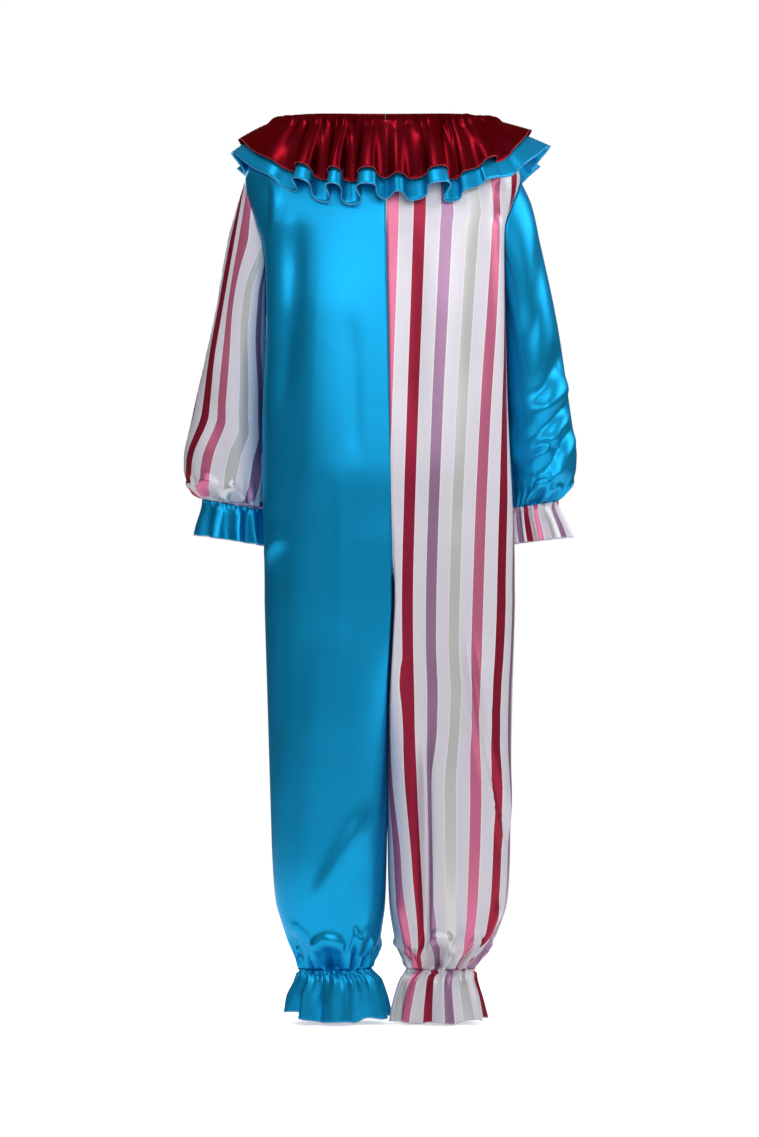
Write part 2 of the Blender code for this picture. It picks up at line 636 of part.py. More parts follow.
def split(face, points):
    """A facet as triangles. Both sides of a wall are split the same way, so that a twisted facet keeps its wall."""
    if len(face) == 3:
        return [face]
    a, b, c, d = face
    if (points[a] - points[c]).length <= (points[b] - points[d]).length:
        return [(a, b, c), (a, c, d)]
    return [(a, b, d), (b, c, d)]


def make_piece(panel, total, outwards_first):
    """The closed wall of one piece. outwards_first says that its faces already turn outwards."""
    outer = panel.pulled_points()
    inner = [p + panel.wall * d for p, d in zip(outer, wall_directions(panel, total))]
    bm = bmesh.new()
    outside = [bm.verts.new(p) for p in outer]
    inside = [bm.verts.new(p) for p in inner]
    for face in panel.faces:
        for part in split(face, outer):
            bm.faces.new([outside[i] for i in part])
            bm.faces.new([inside[i] for i in reversed(part)])
    for loop in panel.boundary():
        for a, b in zip(loop, loop[1:] + loop[:1]):
            bm.faces.new((outside[b], outside[a], inside[a], inside[b]))
    if not outwards_first:
        bmesh.ops.reverse_faces(bm, faces=bm.faces)
    mesh = bpy.data.meshes.new(panel.name)
    bm.to_mesh(mesh)
    bm.free()
    mesh.materials.append(cloth_material(panel.name + "_satin", panel.colour))
    mesh.shade_smooth()
    mesh.set_sharp_from_angle(angle=math.radians(50))
    piece = bpy.data.objects.new(panel.name, mesh)
    bpy.context.scene.collection.objects.link(piece)
    return piece


def faces_turn_out(panel):
    """True if a panel's own face order points away from the middle of the tube or body that it is part of."""
    row = panel.rows[len(panel.rows) // 2]
    if panel.closed:
        middle = sum(row, Vector()) / len(row)
    else:
        middle = Vector((row[len(row) // 2].x * 0.3, 0, row[len(row) // 2].z))
    index = panel.starts[len(panel.rows) // 2] + len(row) // 2
    return panel.own_normals()[index].dot(panel.points[index] - middle) > 0


def oriented(panel):
    """Turns a panel's rows round where that is needed, so that its faces turn out."""
    if faces_turn_out(panel):
        return panel
    swap = {"inner": "side", "side": "inner"}
    rows = [row[:1] + row[:0:-1] if panel.closed else row[::-1] for row in panel.rows]
    seams = panel.seams if panel.closed else {swap.get(edge, edge) for edge in panel.seams}
    return Panel(panel.name, rows, panel.closed, seams, panel.wall, panel.colour, panel.level_edge)


def sewn_panels():
    """The body, sleeves, cuffs and ankle ruffles, which meet along seams."""
    panels = []
    for side, name, body, sleeve in ((-1, "left", BLUE, STRIPED), (1, "right", STRIPED, BLUE)):
        for face, place in ((-1, "back"), (1, "front")):
            seams = ("first", "last", "inner", "side")
            panels.append(Panel(f"{place}_{name}", body_rows(side, face), False, seams, WALL, body))
        panels.append(Panel(f"sleeve_{name}", sleeve_rows(side), True, ("first", "last"), WALL, sleeve))
        panels.append(Panel(f"cuff_ruffle_{name}", cuff_rows(side), True, ("first",), WALL, body))
        panels.append(Panel(f"ankle_ruffle_{name}", ankle_rows(side), True, ("first",), WALL, body))
    return [oriented(panel) for panel in panels]


def collar_panels():
    panels = [
        Panel("neck_casing", casing_rows(), False, (), CASING_WALL, BURGUNDY),
        Panel("collar_top_ruffle", collar_rows("top"), False, (), WALL, BURGUNDY, True),
        Panel("collar_under_ruffle", collar_rows("under"), False, (), WALL, BLUE, True),
    ]
    return [oriented(panel) for panel in panels]


def main():
    for old in list(bpy.data.objects):
        bpy.data.objects.remove(old, do_unlink=True)
    sewn = sewn_panels()
    total = shared_normals(sewn)
    for panel in sewn:
        make_piece(panel, total, True)
    for panel in collar_panels():
        make_piece(panel, {}, True)


main()
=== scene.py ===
"""Dresses a hollow clown jumpsuit, filled out as worn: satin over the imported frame, ruffles, a studio.

Metres, +Z up. -Y is the back of the suit, where the collar opens, and +X is the wearer's right.
A side is -1 for the wearer's left and 1 for the right, and a face is -1 for the back and 1 for the front.
"""

import math
from collections import namedtuple

import bpy
import numpy as np
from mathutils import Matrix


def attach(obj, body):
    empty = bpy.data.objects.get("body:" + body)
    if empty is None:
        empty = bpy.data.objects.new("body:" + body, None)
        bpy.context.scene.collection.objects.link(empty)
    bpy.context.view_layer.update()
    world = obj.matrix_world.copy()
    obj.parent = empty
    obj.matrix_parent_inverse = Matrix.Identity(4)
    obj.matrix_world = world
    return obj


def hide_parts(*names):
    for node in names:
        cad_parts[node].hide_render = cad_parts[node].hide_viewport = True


bl_info = {
    "name": "Clown jumpsuit",
    "version": (1, 0, 0),
    "blender": (4, 5, 0),
    "location": "View3D > Sidebar > Jumpsuit",
    "description": "Builds a two-colour satin clown jumpsuit with ruffles, and its studio",
    "category": "Object",
}

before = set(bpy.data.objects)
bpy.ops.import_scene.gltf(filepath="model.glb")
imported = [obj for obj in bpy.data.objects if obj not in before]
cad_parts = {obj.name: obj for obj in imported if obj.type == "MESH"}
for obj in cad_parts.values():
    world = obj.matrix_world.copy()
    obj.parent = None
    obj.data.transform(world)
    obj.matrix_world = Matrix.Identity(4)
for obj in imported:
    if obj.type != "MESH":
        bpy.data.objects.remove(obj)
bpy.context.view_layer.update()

# Heights of the cut, from the neck seam at the centre back
SHOULDER, UNDERARM, CROTCH = -0.092, -0.262, -0.784
CROTCH_RISE, HIP_BLEND = 0.035, 0.165
ANKLE, ANKLE_HEM, WRIST, CUFF_HEM = -1.438, -1.528, -0.646, -0.707
NECK_LIFT, NECK_DIP, NECK_FADE = 0.013, 0.024, 0.10
ARMHOLE_BACK, ARMHOLE_FRONT = 0.060, 0.054
SLEEVE_FADE = 0.50
WRIST_TILT = {-1: 0.009, 1: 0.006}
HEM_LIFT = {-1: 0.014, 1: 0.005}
HEM_WAVE, HEM_WAVES = 0.0022, 8
GATHER_TOP, WRIST_GATHER_TOP = -1.30, -0.55  # above these the cloth's width is what shows
STRIPES_DRAWN = -1.398  # below this the stripes run straight into the ankle elastic

# How a panel's columns go round: the share of them on the leg's inner side, the turn of the torso that
# they take, how the others crowd inwards, and where the leg's inner corner and its middle lie
INNER_COLUMNS, INNER_TURN, COLUMN_EASE = 0.12, 0.0014, 1.56
COLUMN_SQUARE, LEG_CORNER, LEG_MIDDLE = 0.64, 0.965, 0.22

# Between these heights the cloth from trunk to leg hangs straight. It fades in below the top and out above
# the low end, dives inwards only within HANG_EDGE of the inner edge, and leaves the side alone.
HANG_TOP, HANG_LOW, HANG_TOP_FADE, HANG_LOW_FADE = -0.625, -1.150, 0.10, 0.28
HANG_FLAT, HANG_EDGE, HANG_SIDE, HANG_SIDE_FADE = 0.060, 0.004, 0.80, 0.25

Torso = namedtuple("Torso", "level middle left right back front widest_y square")
Legs = namedtuple("Legs", "level middle gap left right back front square inner_square")
Sleeve = namedtuple("Sleeve", "level outer inner middle_y depth")
Collar = namedtuple("Collar", "azimuth out drop")
Layer = namedtuple("Layer", "lean reach flat pleats spread")
Fold = namedtuple("Fold", "azimuth reach curl")
Pleat = namedtuple("Pleat", "azimuth depth width reach lean")
Crease = namedtuple("Crease", "x0 z0 x1 z1 bow left right depth")
Puff = namedtuple("Puff", "turn width height lean depth")
Elastic = namedtuple(
    "Elastic", "level hem phase reach lobe lobes fade gather gathers flute flare flutes sharp tuck"
)
StripePair = namedtuple("StripePair", "level wine pink")
StripeEdge = namedtuple("StripeEdge", "level edge")
Lamp = namedtuple("Lamp", "name x y z aim width height power")


def table(kind, *rows):
    return tuple(kind(*row) for row in rows)


def millimetres(kind, *rows):
    """A table with all its values in millimetres, turned into metres."""
    return tuple(kind(*(value / 1000 for value in row)) for row in rows)


TORSO = table(
    Torso,
    (0, -0.003, 0.162, 0.162, 0.105, 0.1, 0, 1),
    (-0.03, -0.003, 0.193, 0.191, 0.111, 0.106, 0, 0.92),
    (-0.06, -0.003, 0.222, 0.219, 0.117, 0.111, 0, 0.78),
    (SHOULDER, -0.003, 0.24, 0.231, 0.122, 0.115, 0, 0.62),
    (-0.17, -0.002, 0.222, 0.2055, 0.127, 0.12, -0.008, 0.48),
    (-0.205, -0.001, 0.2105, 0.2015, 0.1265, 0.1205, -0.019, 0.46),
    (UNDERARM, 0, 0.2055, 0.2005, 0.1255, 0.121, -0.03, 0.46),
    (-0.35, 0.002, 0.207, 0.2, 0.1245, 0.119, -0.036, 0.48),
    (-0.473, 0.004, 0.215, 0.201, 0.124, 0.116, -0.036, 0.54),
    (-0.585, 0.006, 0.218, 0.2045, 0.1245, 0.1125, -0.036, 0.62),
    (-0.643, 0.007, 0.219, 0.207, 0.1225, 0.11, -0.032, 0.62),
    (-0.74, 0.009, 0.219, 0.209, 0.116, 0.106, -0.018, 0.64),
    (CROTCH, 0.01, 0.219, 0.209, 0.112, 0.105, -0.008, 0.66),
)
LEGS = table(
    Legs,
    (-0.674, 0.01, 0, 0.209, 0.218, 0.121, 0.108, 0.64, 0.32),
    (CROTCH, 0.0103, -0.0003, 0.209, 0.2185, 0.112, 0.105, 0.66, 0.34),
    (-0.813, 0.0105, -0.0004, 0.209, 0.219, 0.11, 0.103, 0.67, 0.37),
    (-0.983, 0.0022, -0.0004, 0.204, 0.214, 0.102, 0.098, 0.7, 0.52),
    (-1.153, 0.0012, -0.0004, 0.199, 0.211, 0.097, 0.096, 0.73, 0.64),
    (-1.255, 0.0005, 0.001, 0.1955, 0.21, 0.095, 0.095, 0.76, 0.72),
    (-1.323, 0.0004, 0.0032, 0.19, 0.2057, 0.092, 0.092, 0.8, 0.78),
    (-1.357, 0.0004, 0.0068, 0.181, 0.197, 0.087, 0.087, 0.83, 0.82),
    (-1.391, 0.0016, 0.0136, 0.169, 0.183, 0.076, 0.076, 0.87, 0.87),
    (-1.416, 0.0026, 0.0246, 0.157, 0.165, 0.061, 0.061, 0.92, 0.92),
    (ANKLE, 0.0034, 0.0335, 0.148, 0.148, 0.047, 0.047, 0.96, 0.96),
    (-1.459, 0.006, 0.019, 0.152, 0.15, 0.053, 0.053, 0.92, 0.92),
    (-1.493, 0.006, 0.011, 0.164, 0.158, 0.057, 0.057, 0.88, 0.88),
    (ANKLE_HEM, 0.006, 0.008, 0.166, 0.164, 0.06, 0.06, 0.86, 0.86),
)
SLEEVES = {
    -1: table(
        Sleeve,
        (SHOULDER, 0.243, 0.15, 0, 0.062), (-0.167, 0.266, 0.186, 0.004, 0.06),
        (-0.234, 0.28, 0.197, 0.011, 0.057), (-0.303, 0.291, 0.202, 0.019, 0.055),
        (-0.371, 0.306, 0.206, 0.027, 0.056), (-0.439, 0.322, 0.209, 0.033, 0.058),
        (-0.507, 0.337, 0.21, 0.038, 0.061), (-0.56, 0.348, 0.209, 0.041, 0.063),
        (-0.595, 0.349, 0.208, 0.046, 0.062), (-0.62, 0.341, 0.209, 0.048, 0.056),
        (-0.636, 0.329, 0.211, 0.05, 0.046), (WRIST, 0.315, 0.213, 0.052, 0.036),
        (-0.662, 0.316, 0.213, 0.055, 0.04), (-0.688, 0.322, 0.211, 0.058, 0.045),
        (CUFF_HEM, 0.325, 0.208, 0.06, 0.049),
    ),
    1: table(
        Sleeve,
        (SHOULDER, 0.238, 0.15, 0, 0.062), (-0.133, 0.254, 0.172, 0.002, 0.061),
        (-0.2, 0.266, 0.191, 0.007, 0.058), (-0.303, 0.286, 0.198, 0.019, 0.055),
        (-0.371, 0.298, 0.2, 0.027, 0.056), (-0.439, 0.308, 0.202, 0.033, 0.058),
        (-0.507, 0.318, 0.206, 0.038, 0.061), (-0.56, 0.326, 0.21, 0.041, 0.063),
        (-0.595, 0.324, 0.212, 0.046, 0.062), (-0.62, 0.313, 0.213, 0.048, 0.056),
        (-0.636, 0.302, 0.213, 0.05, 0.046), (WRIST, 0.293, 0.213, 0.052, 0.036),
        (-0.662, 0.297, 0.213, 0.055, 0.04), (-0.688, 0.309, 0.214, 0.06, 0.045),
        (CUFF_HEM, 0.316, 0.216, 0.063, 0.049),
    ),
}

# How deep and how far a seam draws the cloth in
SEAM_DEPTH, SEAM_WIDTH = 0.0007, 0.0026

# The collar's under layer. The top one is shorter and lies over it.
COLLAR = table(
    Collar,
    (0, 0.062, 0.132), (35, 0.07, 0.125), (60, 0.082, 0.098), (90, 0.094, 0.062),
    (115, 0.096, 0.092), (145, 0.078, 0.116), (180, 0.066, 0.126),
)
TOP_LENGTH, TOP_SHORTER_RIGHT, TOP_SHORTER_LEFT, LAYER_GAP = 0.83, 0.15, 0.07, 0.0075
TIP_RIGHT, TIP_LEFT, TIP_SPREAD = 88, 272, 20
TIP_LIFT_RIGHT, TIP_LIFT_LEFT = 0.014, 0.008
WAVE_OUT, WAVE_UP = 0.013, 0.012
TOP_SEAM, UNDER_SEAM, HEADING, CASING_HEIGHT = 0.0098, 0.0034, 0.0064, 0.013
COLLAR_OPENING = 0.03
# How far a layer's waves lean and reach, where the under one's flatten, and how much it pleats and spreads
FLAT_AT, FLAT_WIDTH = 53, 9
LAYERS = {
    "top": Layer(lean=0.0, reach=1.0, flat=0.0, pleats=1.25, spread=0.02),
    "under": Layer(lean=0.4, reach=1.45, flat=0.8, pleats=0.5, spread=0.14),
}

# Crests (1) and troughs (-1) by azimuth. curl is how far a crest opens out past its neck.
BACK_FOLDS = table(
    Fold,
    (-90, 0.3, 0.05), (-62, 0.2, 0.05), (-47, -0.7, 0.1), (-40.5, 0.9, 0.24),
    (-30.6, -1, 0.2), (-24.3, 0.9, 0.22), (-17.1, -1, 0.26), (-8.3, 1, 0.26),
    (0, -0.8, 0.1), (5.6, 0.3, 0.05), (13.5, -0.6, 0.08), (25.8, 1, 0.26),
    (33.1, -1, 0.26), (42, -0.1, 0.15), (51.5, 0.9, 0.15), (58.5, -0.5, 0.15),
    (74, 0.3, 0.05), (90, 0.6, 0.05),
)
FRONT_WAVES, FRONT_REACHES, FRONT_CURL = 9, (0.9, -0.55, 1.0, -0.4), 0.14

# Pleats that the neck elastic draws in, by azimuth: how deep and wide (degrees) each is at the neck, the
# share of the collar that it runs down, and how far it leans on the way
BACK_PLEATS = table(
    Pleat,
    (-74, 0.003, 2.6, 0.6, -2), (-63, 0.0036, 2.2, 0.75, -3), (-54, 0.0052, 1.9, 0.95, -2),
    (-47, 0.0034, 1.4, 0.55, 1), (-41, 0.004, 1.4, 0.4, -4), (-36, 0.0056, 1.5, 0.9, 2),
    (-30.5, 0.0034, 1.2, 0.35, -3), (-25.5, 0.005, 1.3, 0.8, 1), (-21, 0.0044, 1.2, 0.45, 5),
    (-17.6, 0.005, 1.2, 0.55, -2), (-13, 0.0034, 1.2, 0.3, 2), (-8.6, 0.004, 1.3, 0.42, -1),
    (-3.8, 0.0038, 1.2, 0.3, 0.5), (4, 0.005, 1.2, 0.25, 1), (10.5, 0.0026, 1.4, 0.4, -2),
    (17, 0.005, 1.3, 0.5, 3), (20.5, 0.003, 1, 0.7, 4), (27, 0.0026, 1.2, 0.45, -2),
    (33, 0.0054, 1.3, 0.85, 2), (37, 0.0044, 1.1, 0.95, 0.5), (42, 0.0046, 1.3, 0.6, 4),
    (48, 0.0034, 1.3, 0.75, 1), (54, 0.005, 1.5, 0.55, 6), (61, 0.004, 1.7, 0.8, 3),
    (70, 0.004, 2, 0.65, 1), (80, 0.003, 2.4, 0.7, 2),
)
FRONT_PLEATS = 23

# Main creases by garment part, side and face, in millimetres as seen from the back. A crease runs from
# x0, z0 to x1, z1 with its middle bowed to its left by bow, is left and right wide on its two sides, and
# depth high. A negative depth is a trough.
CREASES = {
    ("body", -1, -1): millimetres(
        Crease,
        (-156, -130, -196, -540, 14, 20, 20, -8.5), (-112, -140, -130, -760, 0, 80, 30, 7),
        (-112, -860, -136, -1420, 0, 75, 34, 8.5), (-194, -40, -186, -410, 0, 40, 18, 8),
        (-200, -95, -203, -200, 2, 6, 10, -4.5), (-222, -755, -170, -690, 6, 10, 14, 6),
        (-80, -560, -78, -930, 0, 11, 11, 1.6), (-60, -310, -52, -600, 0, 14, 14, -1.4),
        (-180, -620, -188, -1150, 4, 16, 16, -3), (-135, -1350, -22, -1150, 6, 12, 26, 5),
        (-40, -1230, -80, -1400, 4, 16, 20, -2), (-176, -1352, -117, -1422, 14, 6, 10, 6.5),
        (-166, -1372, -145, -1434, 2, 6, 8, -9), (-62, -1434, -28, -1352, 3, 4, 6, 5),
        (-50, -1434, -16, -1368, 2, 4, 5, -5), (-72, -1425, -44, -1335, 4, 5, 7, -5),
    ),
    ("body", 1, -1): millimetres(
        Crease,
        (124, -1434, 192, -1310, -12, 6, 10, 8), (140, -1434, 198, -1345, -6, 5, 8, -8),
        (104, -1434, 136, -1366, 6, 5, 7, -6), (12, -1300, 40, -1434, 4, 6, 10, 6),
        (196, -95, 192, -180, 0, 6, 12, -7), (40, -140, 32, -560, 4, 20, 26, -3),
        (110, -180, 95, -700, -6, 45, 45, 4), (165, -140, 150, -500, -4, 22, 22, -3),
        (134, -850, 208, -1250, -16, 45, 5, 15), (141.5, -850, 215.5, -1250, -16, 5, 8, -11),
        (60, -1000, 60, -1445, 4, 9, 12, -24), (90, -1000, 85, -1380, 0, 30, 30, 5),
        (60, -640, 85, -980, 0, 40, 40, -3),
    ),
    ("body", -1, 1): millimetres(
        Crease,
        (-150, -180, -60, -560, 10, 40, 40, 6), (-70, -320, -150, -740, 10, 35, 45, -6),
        (-200, -640, -110, -740, 12, 16, 22, 5), (-90, -830, -130, -1330, -10, 40, 40, 6),
        (-150, -880, -100, -1350, 10, 24, 24, -5),
    ),
    ("body", 1, 1): millimetres(
        Crease,
        (150, -200, 70, -600, -10, 40, 40, 6), (60, -300, 140, -760, -10, 35, 45, -6),
        (195, -650, 100, -760, -12, 16, 22, 5), (100, -860, 120, -1340, 10, 40, 40, 6),
        (150, -940, 110, -1350, -12, 24, 24, -5),
    ),
    ("sleeve", -1, -1): millimetres(
        Crease,
        (-251, -115, -300, -480, -10, 10, 30, 3), (-300, -410, -262, -620, -12, 26, 30, -6),
        (-212, -560, -236, -655, 4, 10, 8, 4),
    ),
    ("sleeve", -1, 1): millimetres(
        Crease,
        (-230, -200, -290, -560, 10, 20, 20, 5), (-300, -380, -240, -620, 10, 16, 20, -5),
    ),
    ("sleeve", 1, -1): millimetres(
        Crease,
        (244, -110, 236, -370, 0, 18, 30, 4.5), (262, -170, 232, -400, 10, 12, 18, -3.5),
        (320, -352, 232, -485, 10, 13, 20, -8.5), (325, -408, 246, -500, 12, 10, 16, 7.5),
        (322, -455, 206, -560, 10, 9, 14, -6), (318, -470, 226, -590, 14, 9, 12, 6.5),
        (312, -505, 262, -600, 4, 8, 10, -5), (326, -505, 282, -610, 6, 8, 10, 6),
        (206, -500, 232, -590, -6, 8, 10, 5), (210, -606, 312, -575, -18, 8, 8, 5),
        (236, -560, 300, -556, 14, 7, 9, -4.5),
    ),
    ("sleeve", 1, 1): millimetres(
        Crease,
        (270, -200, 220, -520, 10, 20, 24, 5), (310, -430, 230, -600, 14, 14, 20, -5.5),
        (225, -540, 290, -600, 10, 10, 12, 4.5),
    ),
}

# Puffs over the elastics, by garment part and side. turn runs round from -1 to 1, on a leg from the inseam
# with the back negative, on a sleeve from the outer side with the back positive. width is in the same
# turns, and lean is how far a puff's top leans that way.
PUFF_RING, PUFF_RING_WIDTH, PUFF_HEIGHT = 0.85, 0.24, 1.4
PIT_WIDTH, PIT_DEPTH = 0.42, 2.0
PUFFS = {
    ("leg", -1): table(
        Puff,
        (-0.83, 0.09, 0.036, 0.02, 0.003), (-0.68, 0.06, 0.034, 0, 0.005),
        (-0.53, 0.13, 0.058, 0, 0.009), (-0.34, 0.06, 0.066, -0.04, 0.0055),
        (-0.2, 0.08, 0.06, -0.06, 0.0045), (-0.03, 0.07, 0.04, 0, 0.003),
        (0.14, 0.09, 0.056, 0.02, 0.007), (0.33, 0.07, 0.038, 0, 0.0055),
        (0.52, 0.13, 0.062, 0.03, 0.0085), (0.74, 0.08, 0.048, 0, 0.006),
    ),
    ("leg", 1): table(
        Puff,
        (-0.16, 0.09, 0.05, 0.03, 0.0045), (-0.3, 0.05, 0.044, 0, 0.005),
        (-0.46, 0.13, 0.06, 0, 0.0095), (-0.64, 0.06, 0.058, -0.04, 0.006),
        (-0.78, 0.08, 0.05, -0.05, 0.003), (0.05, 0.06, 0.046, 0, 0.005),
        (0.22, 0.1, 0.052, 0.02, 0.0075), (0.44, 0.07, 0.04, 0, 0.0055),
        (0.62, 0.12, 0.064, -0.03, 0.0085), (0.85, 0.08, 0.05, 0, 0.006),
    ),
    ("sleeve", -1): table(
        Puff,
        (0.1, 0.1, 0.03, 0, 0.004), (0.33, 0.13, 0.042, 0.03, 0.0055),
        (0.56, 0.09, 0.034, 0, 0.0045), (-0.25, 0.12, 0.04, 0, 0.005),
        (-0.6, 0.11, 0.034, 0, 0.0045),
    ),
    ("sleeve", 1): table(
        Puff,
        (0.08, 0.09, 0.036, 0, 0.0045), (0.3, 0.1, 0.03, 0.02, 0.0045),
        (0.52, 0.12, 0.04, -0.03, 0.0055), (-0.28, 0.11, 0.038, 0, 0.005),
        (-0.62, 0.12, 0.036, 0, 0.0045),
    ),
}

# The gathers above an elastic: how far up they reach (with lobes), how they fade, their depth and number.
# The ruffle below it: how deep its flutes are and how much deeper at the hem, their number and how sharp
# they are, and its small tucks.
ELASTICS = {
    "leg": Elastic(ANKLE, ANKLE_HEM, 0, 0.045, 0.055, 5, 1.8, 0.0042, 24, 0.0030, 0.0075, 8, 0.75, 0.0042),
    "sleeve": Elastic(WRIST, CUFF_HEM, 1, 0.045, 0.035, 4, 1.6, 0.0026, 22, 0.0022, 0.0052, 11, 0.7, 0.0),
}
TUCKS = 27

# Where the middles of the first burgundy stripe and the next pink one run down a striped body panel
BODY_STRIPES = table(
    StripePair,
    (-1.438, 0.056, 0.13), (-1.4, 0.057, 0.137), (-1.318, 0.0545, 0.144),
    (-1.148, 0.043, 0.15), (-0.979, 0.0375, 0.149), (-0.809, 0.035, 0.153),
    (-0.639, 0.0385, 0.1587), (-0.469, 0.044, 0.1672), (-0.3, 0.05, 0.179),
    (-0.164, 0.0545, 0.185), (0, 0.059, 0.18),
)
# Where the outer edge of the pink stripe beside the inseam runs down the striped leg
INNER_STRIPE = table(
    StripeEdge,
    (-1.438, 0.045), (-1.386, 0.0407), (-1.301, 0.0272), (-1.228, 0.0221),
    (-1.131, 0.0102), (-1.08, 0.0068), (-1.012, 0.005), (-0.945, 0.004),
)
# The same for the pink stripe down the back of the striped sleeve and the burgundy one outside it
SLEEVE_STRIPES = table(
    StripePair,
    (-0.707, -0.335, -0.308), (-0.66, -0.335, -0.308), (-0.62, -0.341, -0.314),
    (-0.56, -0.336, -0.306), (-0.503, -0.312, -0.284), (-0.47, -0.307, -0.283),
    (-0.384, -0.297, -0.275), (-0.3, -0.281, -0.2675), (-0.164, -0.256, -0.244),
    (-0.092, -0.243, -0.233),
)
# Places across the cut of a body panel: the middle of the burgundy stripe, the pink one past it, and the
# edge of the pink one before it
WINE_ON_CUT, WINE_TO_PINK, EDGE_TO_WINE = 0.055, 0.135, 0.035
SLEEVE_PINK_ON_CUT, SLEEVE_STRIPE_STEP, SLEEVE_STEP_LEAST = 0.010, 0.045, 0.004
# How soft a stripe's edge is, and where the bright white line beside it lies and how wide it is
STRIPE_BLUR, MARGIN_INSET, MARGIN_WIDTH = 0.0002, 0.0010, 0.0016
# Side, name and cloth of the two halves of the body, which the ruffles share
HALVES = ((-1, "left", "satin_blue"), (1, "right", "satin_striped"))

# How the studio brightens from the horizon up, and how much light the floor throws back
SKY = {"From Min": 0.15, "From Max": 0.80, "To Min": 0.10, "To Max": 0.45}
GROUND = {"From Min": -0.10, "From Max": -0.90, "To Min": 0.10, "To Max": 0.60}
LAMPS = table(
    Lamp,
    ("key", 0.45, -2.7, 0.16, -0.25, 1.3, 1.0, 22),
    ("side", 2.55, -0.45, 0.75, -0.30, 2.0, 1.6, 38),
    ("crown", -0.35, -1.9, 2.30, -0.10, 0.8, 0.4, 16),
    ("spark", -1.50, -2.4, 0.70, -0.40, 0.5, 0.7, 12),
    ("far", -0.45, 2.8, 0.10, -0.25, 1.2, 0.9, 50),
)
FLOOR, FLOOR_RADIUS = -1.532, 3.0
CAMERA_X, CAMERA_Z, SENSOR = -0.0127, -0.7553, 36
VIEW_WIDTH, VIEW_Y = 1.9303, -0.06  # what the camera sees across, at this y


def smooth(x):
    """0 up to 0, 1 from 1, and a soft step between."""
    x = np.clip(x, 0.0, 1.0)
    return x * x * (3 - 2 * x)


def bump(x):
    """1 at 0, and falling off to both sides."""
    return np.exp(-(x**2))


def sampled(profile, key):
    """The columns of a table at any keys, on smooth curves through its rows. The first column is the key."""
    rows = np.array(sorted(profile), float)
    x, y = rows[:, 0], rows[:, 1:]
    key = np.clip(key, x[0], x[-1])
    i = np.clip(np.searchsorted(x, key, side="right") - 1, 0, len(x) - 2)
    before, after = np.maximum(i - 1, 0), np.minimum(i + 2, len(x) - 1)
    a, b, c, d = y[before], y[i], y[i + 1], y[after]
    span = (x[i + 1] - x[i])[..., None]
    t = (key - x[i])[..., None] / span
    rise = c - b

    def slope(s):
        limited = np.sign(rise) * np.minimum(np.abs(s), 3 * np.abs(rise))
        return np.where(s * rise <= 0, 0.0, limited)

    slope_b = slope(span * (c - a) / np.maximum(x[i + 1] - x[before], 1e-9)[..., None])
    slope_c = slope(span * (d - b) / np.maximum(x[after] - x[i], 1e-9)[..., None])
    shape = (2 * t - 3) * t * t
    found = b * (1 + shape) - c * shape + slope_b * t * (1 - t) ** 2 - slope_c * t * t * (1 - t)
    return type(profile[0])(key, *np.moveaxis(found, -1, 0))


def stack(x, y, z):
    return np.stack(np.broadcast_arrays(x, y, z), axis=-1)


def torso_turn(level, y):
    """The turn, 0 at the centre back and 2 at the centre front, at which a torso section has this y."""
    s = sampled(TORSO, level)
    back = np.clip((s.widest_y - y) / (s.back + s.widest_y), 0, 1) ** (1 / s.square)
    front = np.clip((y - s.widest_y) / (s.front - s.widest_y), 0, 1) ** (1 / s.square)
    return np.where(y <= s.widest_y, np.arccos(back), math.pi - np.arccos(front)) / (math.pi / 2)


def torso_point(side, turn, level):
    s = sampled(TORSO, level)
    angle = turn * math.pi / 2
    across, along = np.maximum(np.sin(angle), 0) ** s.square, np.abs(np.cos(angle)) ** s.square
    half = np.where(side < 0, s.left, s.right)
    y = s.widest_y + np.where(turn < 1, -(s.back + s.widest_y), s.front - s.widest_y) * along
    fade = smooth(1 + level / NECK_FADE)
    height = level + fade * (NECK_LIFT * np.sin(angle) ** 2 - NECK_DIP * (1 - np.cos(angle)) / 2)
    return stack(s.middle + side * half * across, y, height)


def ring_wave(angle, waves, phase):
    """A wave round a whole leg or sleeve, a little uneven, and the same where the ring closes."""
    return np.cos(waves * angle + phase + 0.9 * np.sin(2 * angle + phase) + 0.5 * np.sin(3 * angle))


def folds_at(angle, waves, phase, sharp):
    """Gathers with rounded ridges and narrow troughs, from -1 to 1."""
    wave = ring_wave(angle, waves, phase)
    return np.sign(wave) * np.abs(wave) ** np.where(wave > 0, 1.0, sharp)


def puffed(part, side, turn, rise):
    """The rounded puffs that hang over an elastic: a raised arch each, with a hollow under it."""
    out = np.zeros(np.broadcast(turn, rise).shape)
    fade = smooth(rise / 0.004)
    for p in PUFFS[part, side]:
        aside = (turn - p.turn + 1) % 2 - 1
        across = (aside - p.lean * rise / p.height) / p.width
        from_foot = np.hypot(across, rise / p.height)
        out += fade * PUFF_HEIGHT * p.depth * bump((from_foot - PUFF_RING) / PUFF_RING_WIDTH)
        out -= fade * PIT_DEPTH * p.depth * bump(from_foot / PIT_WIDTH)
    return out


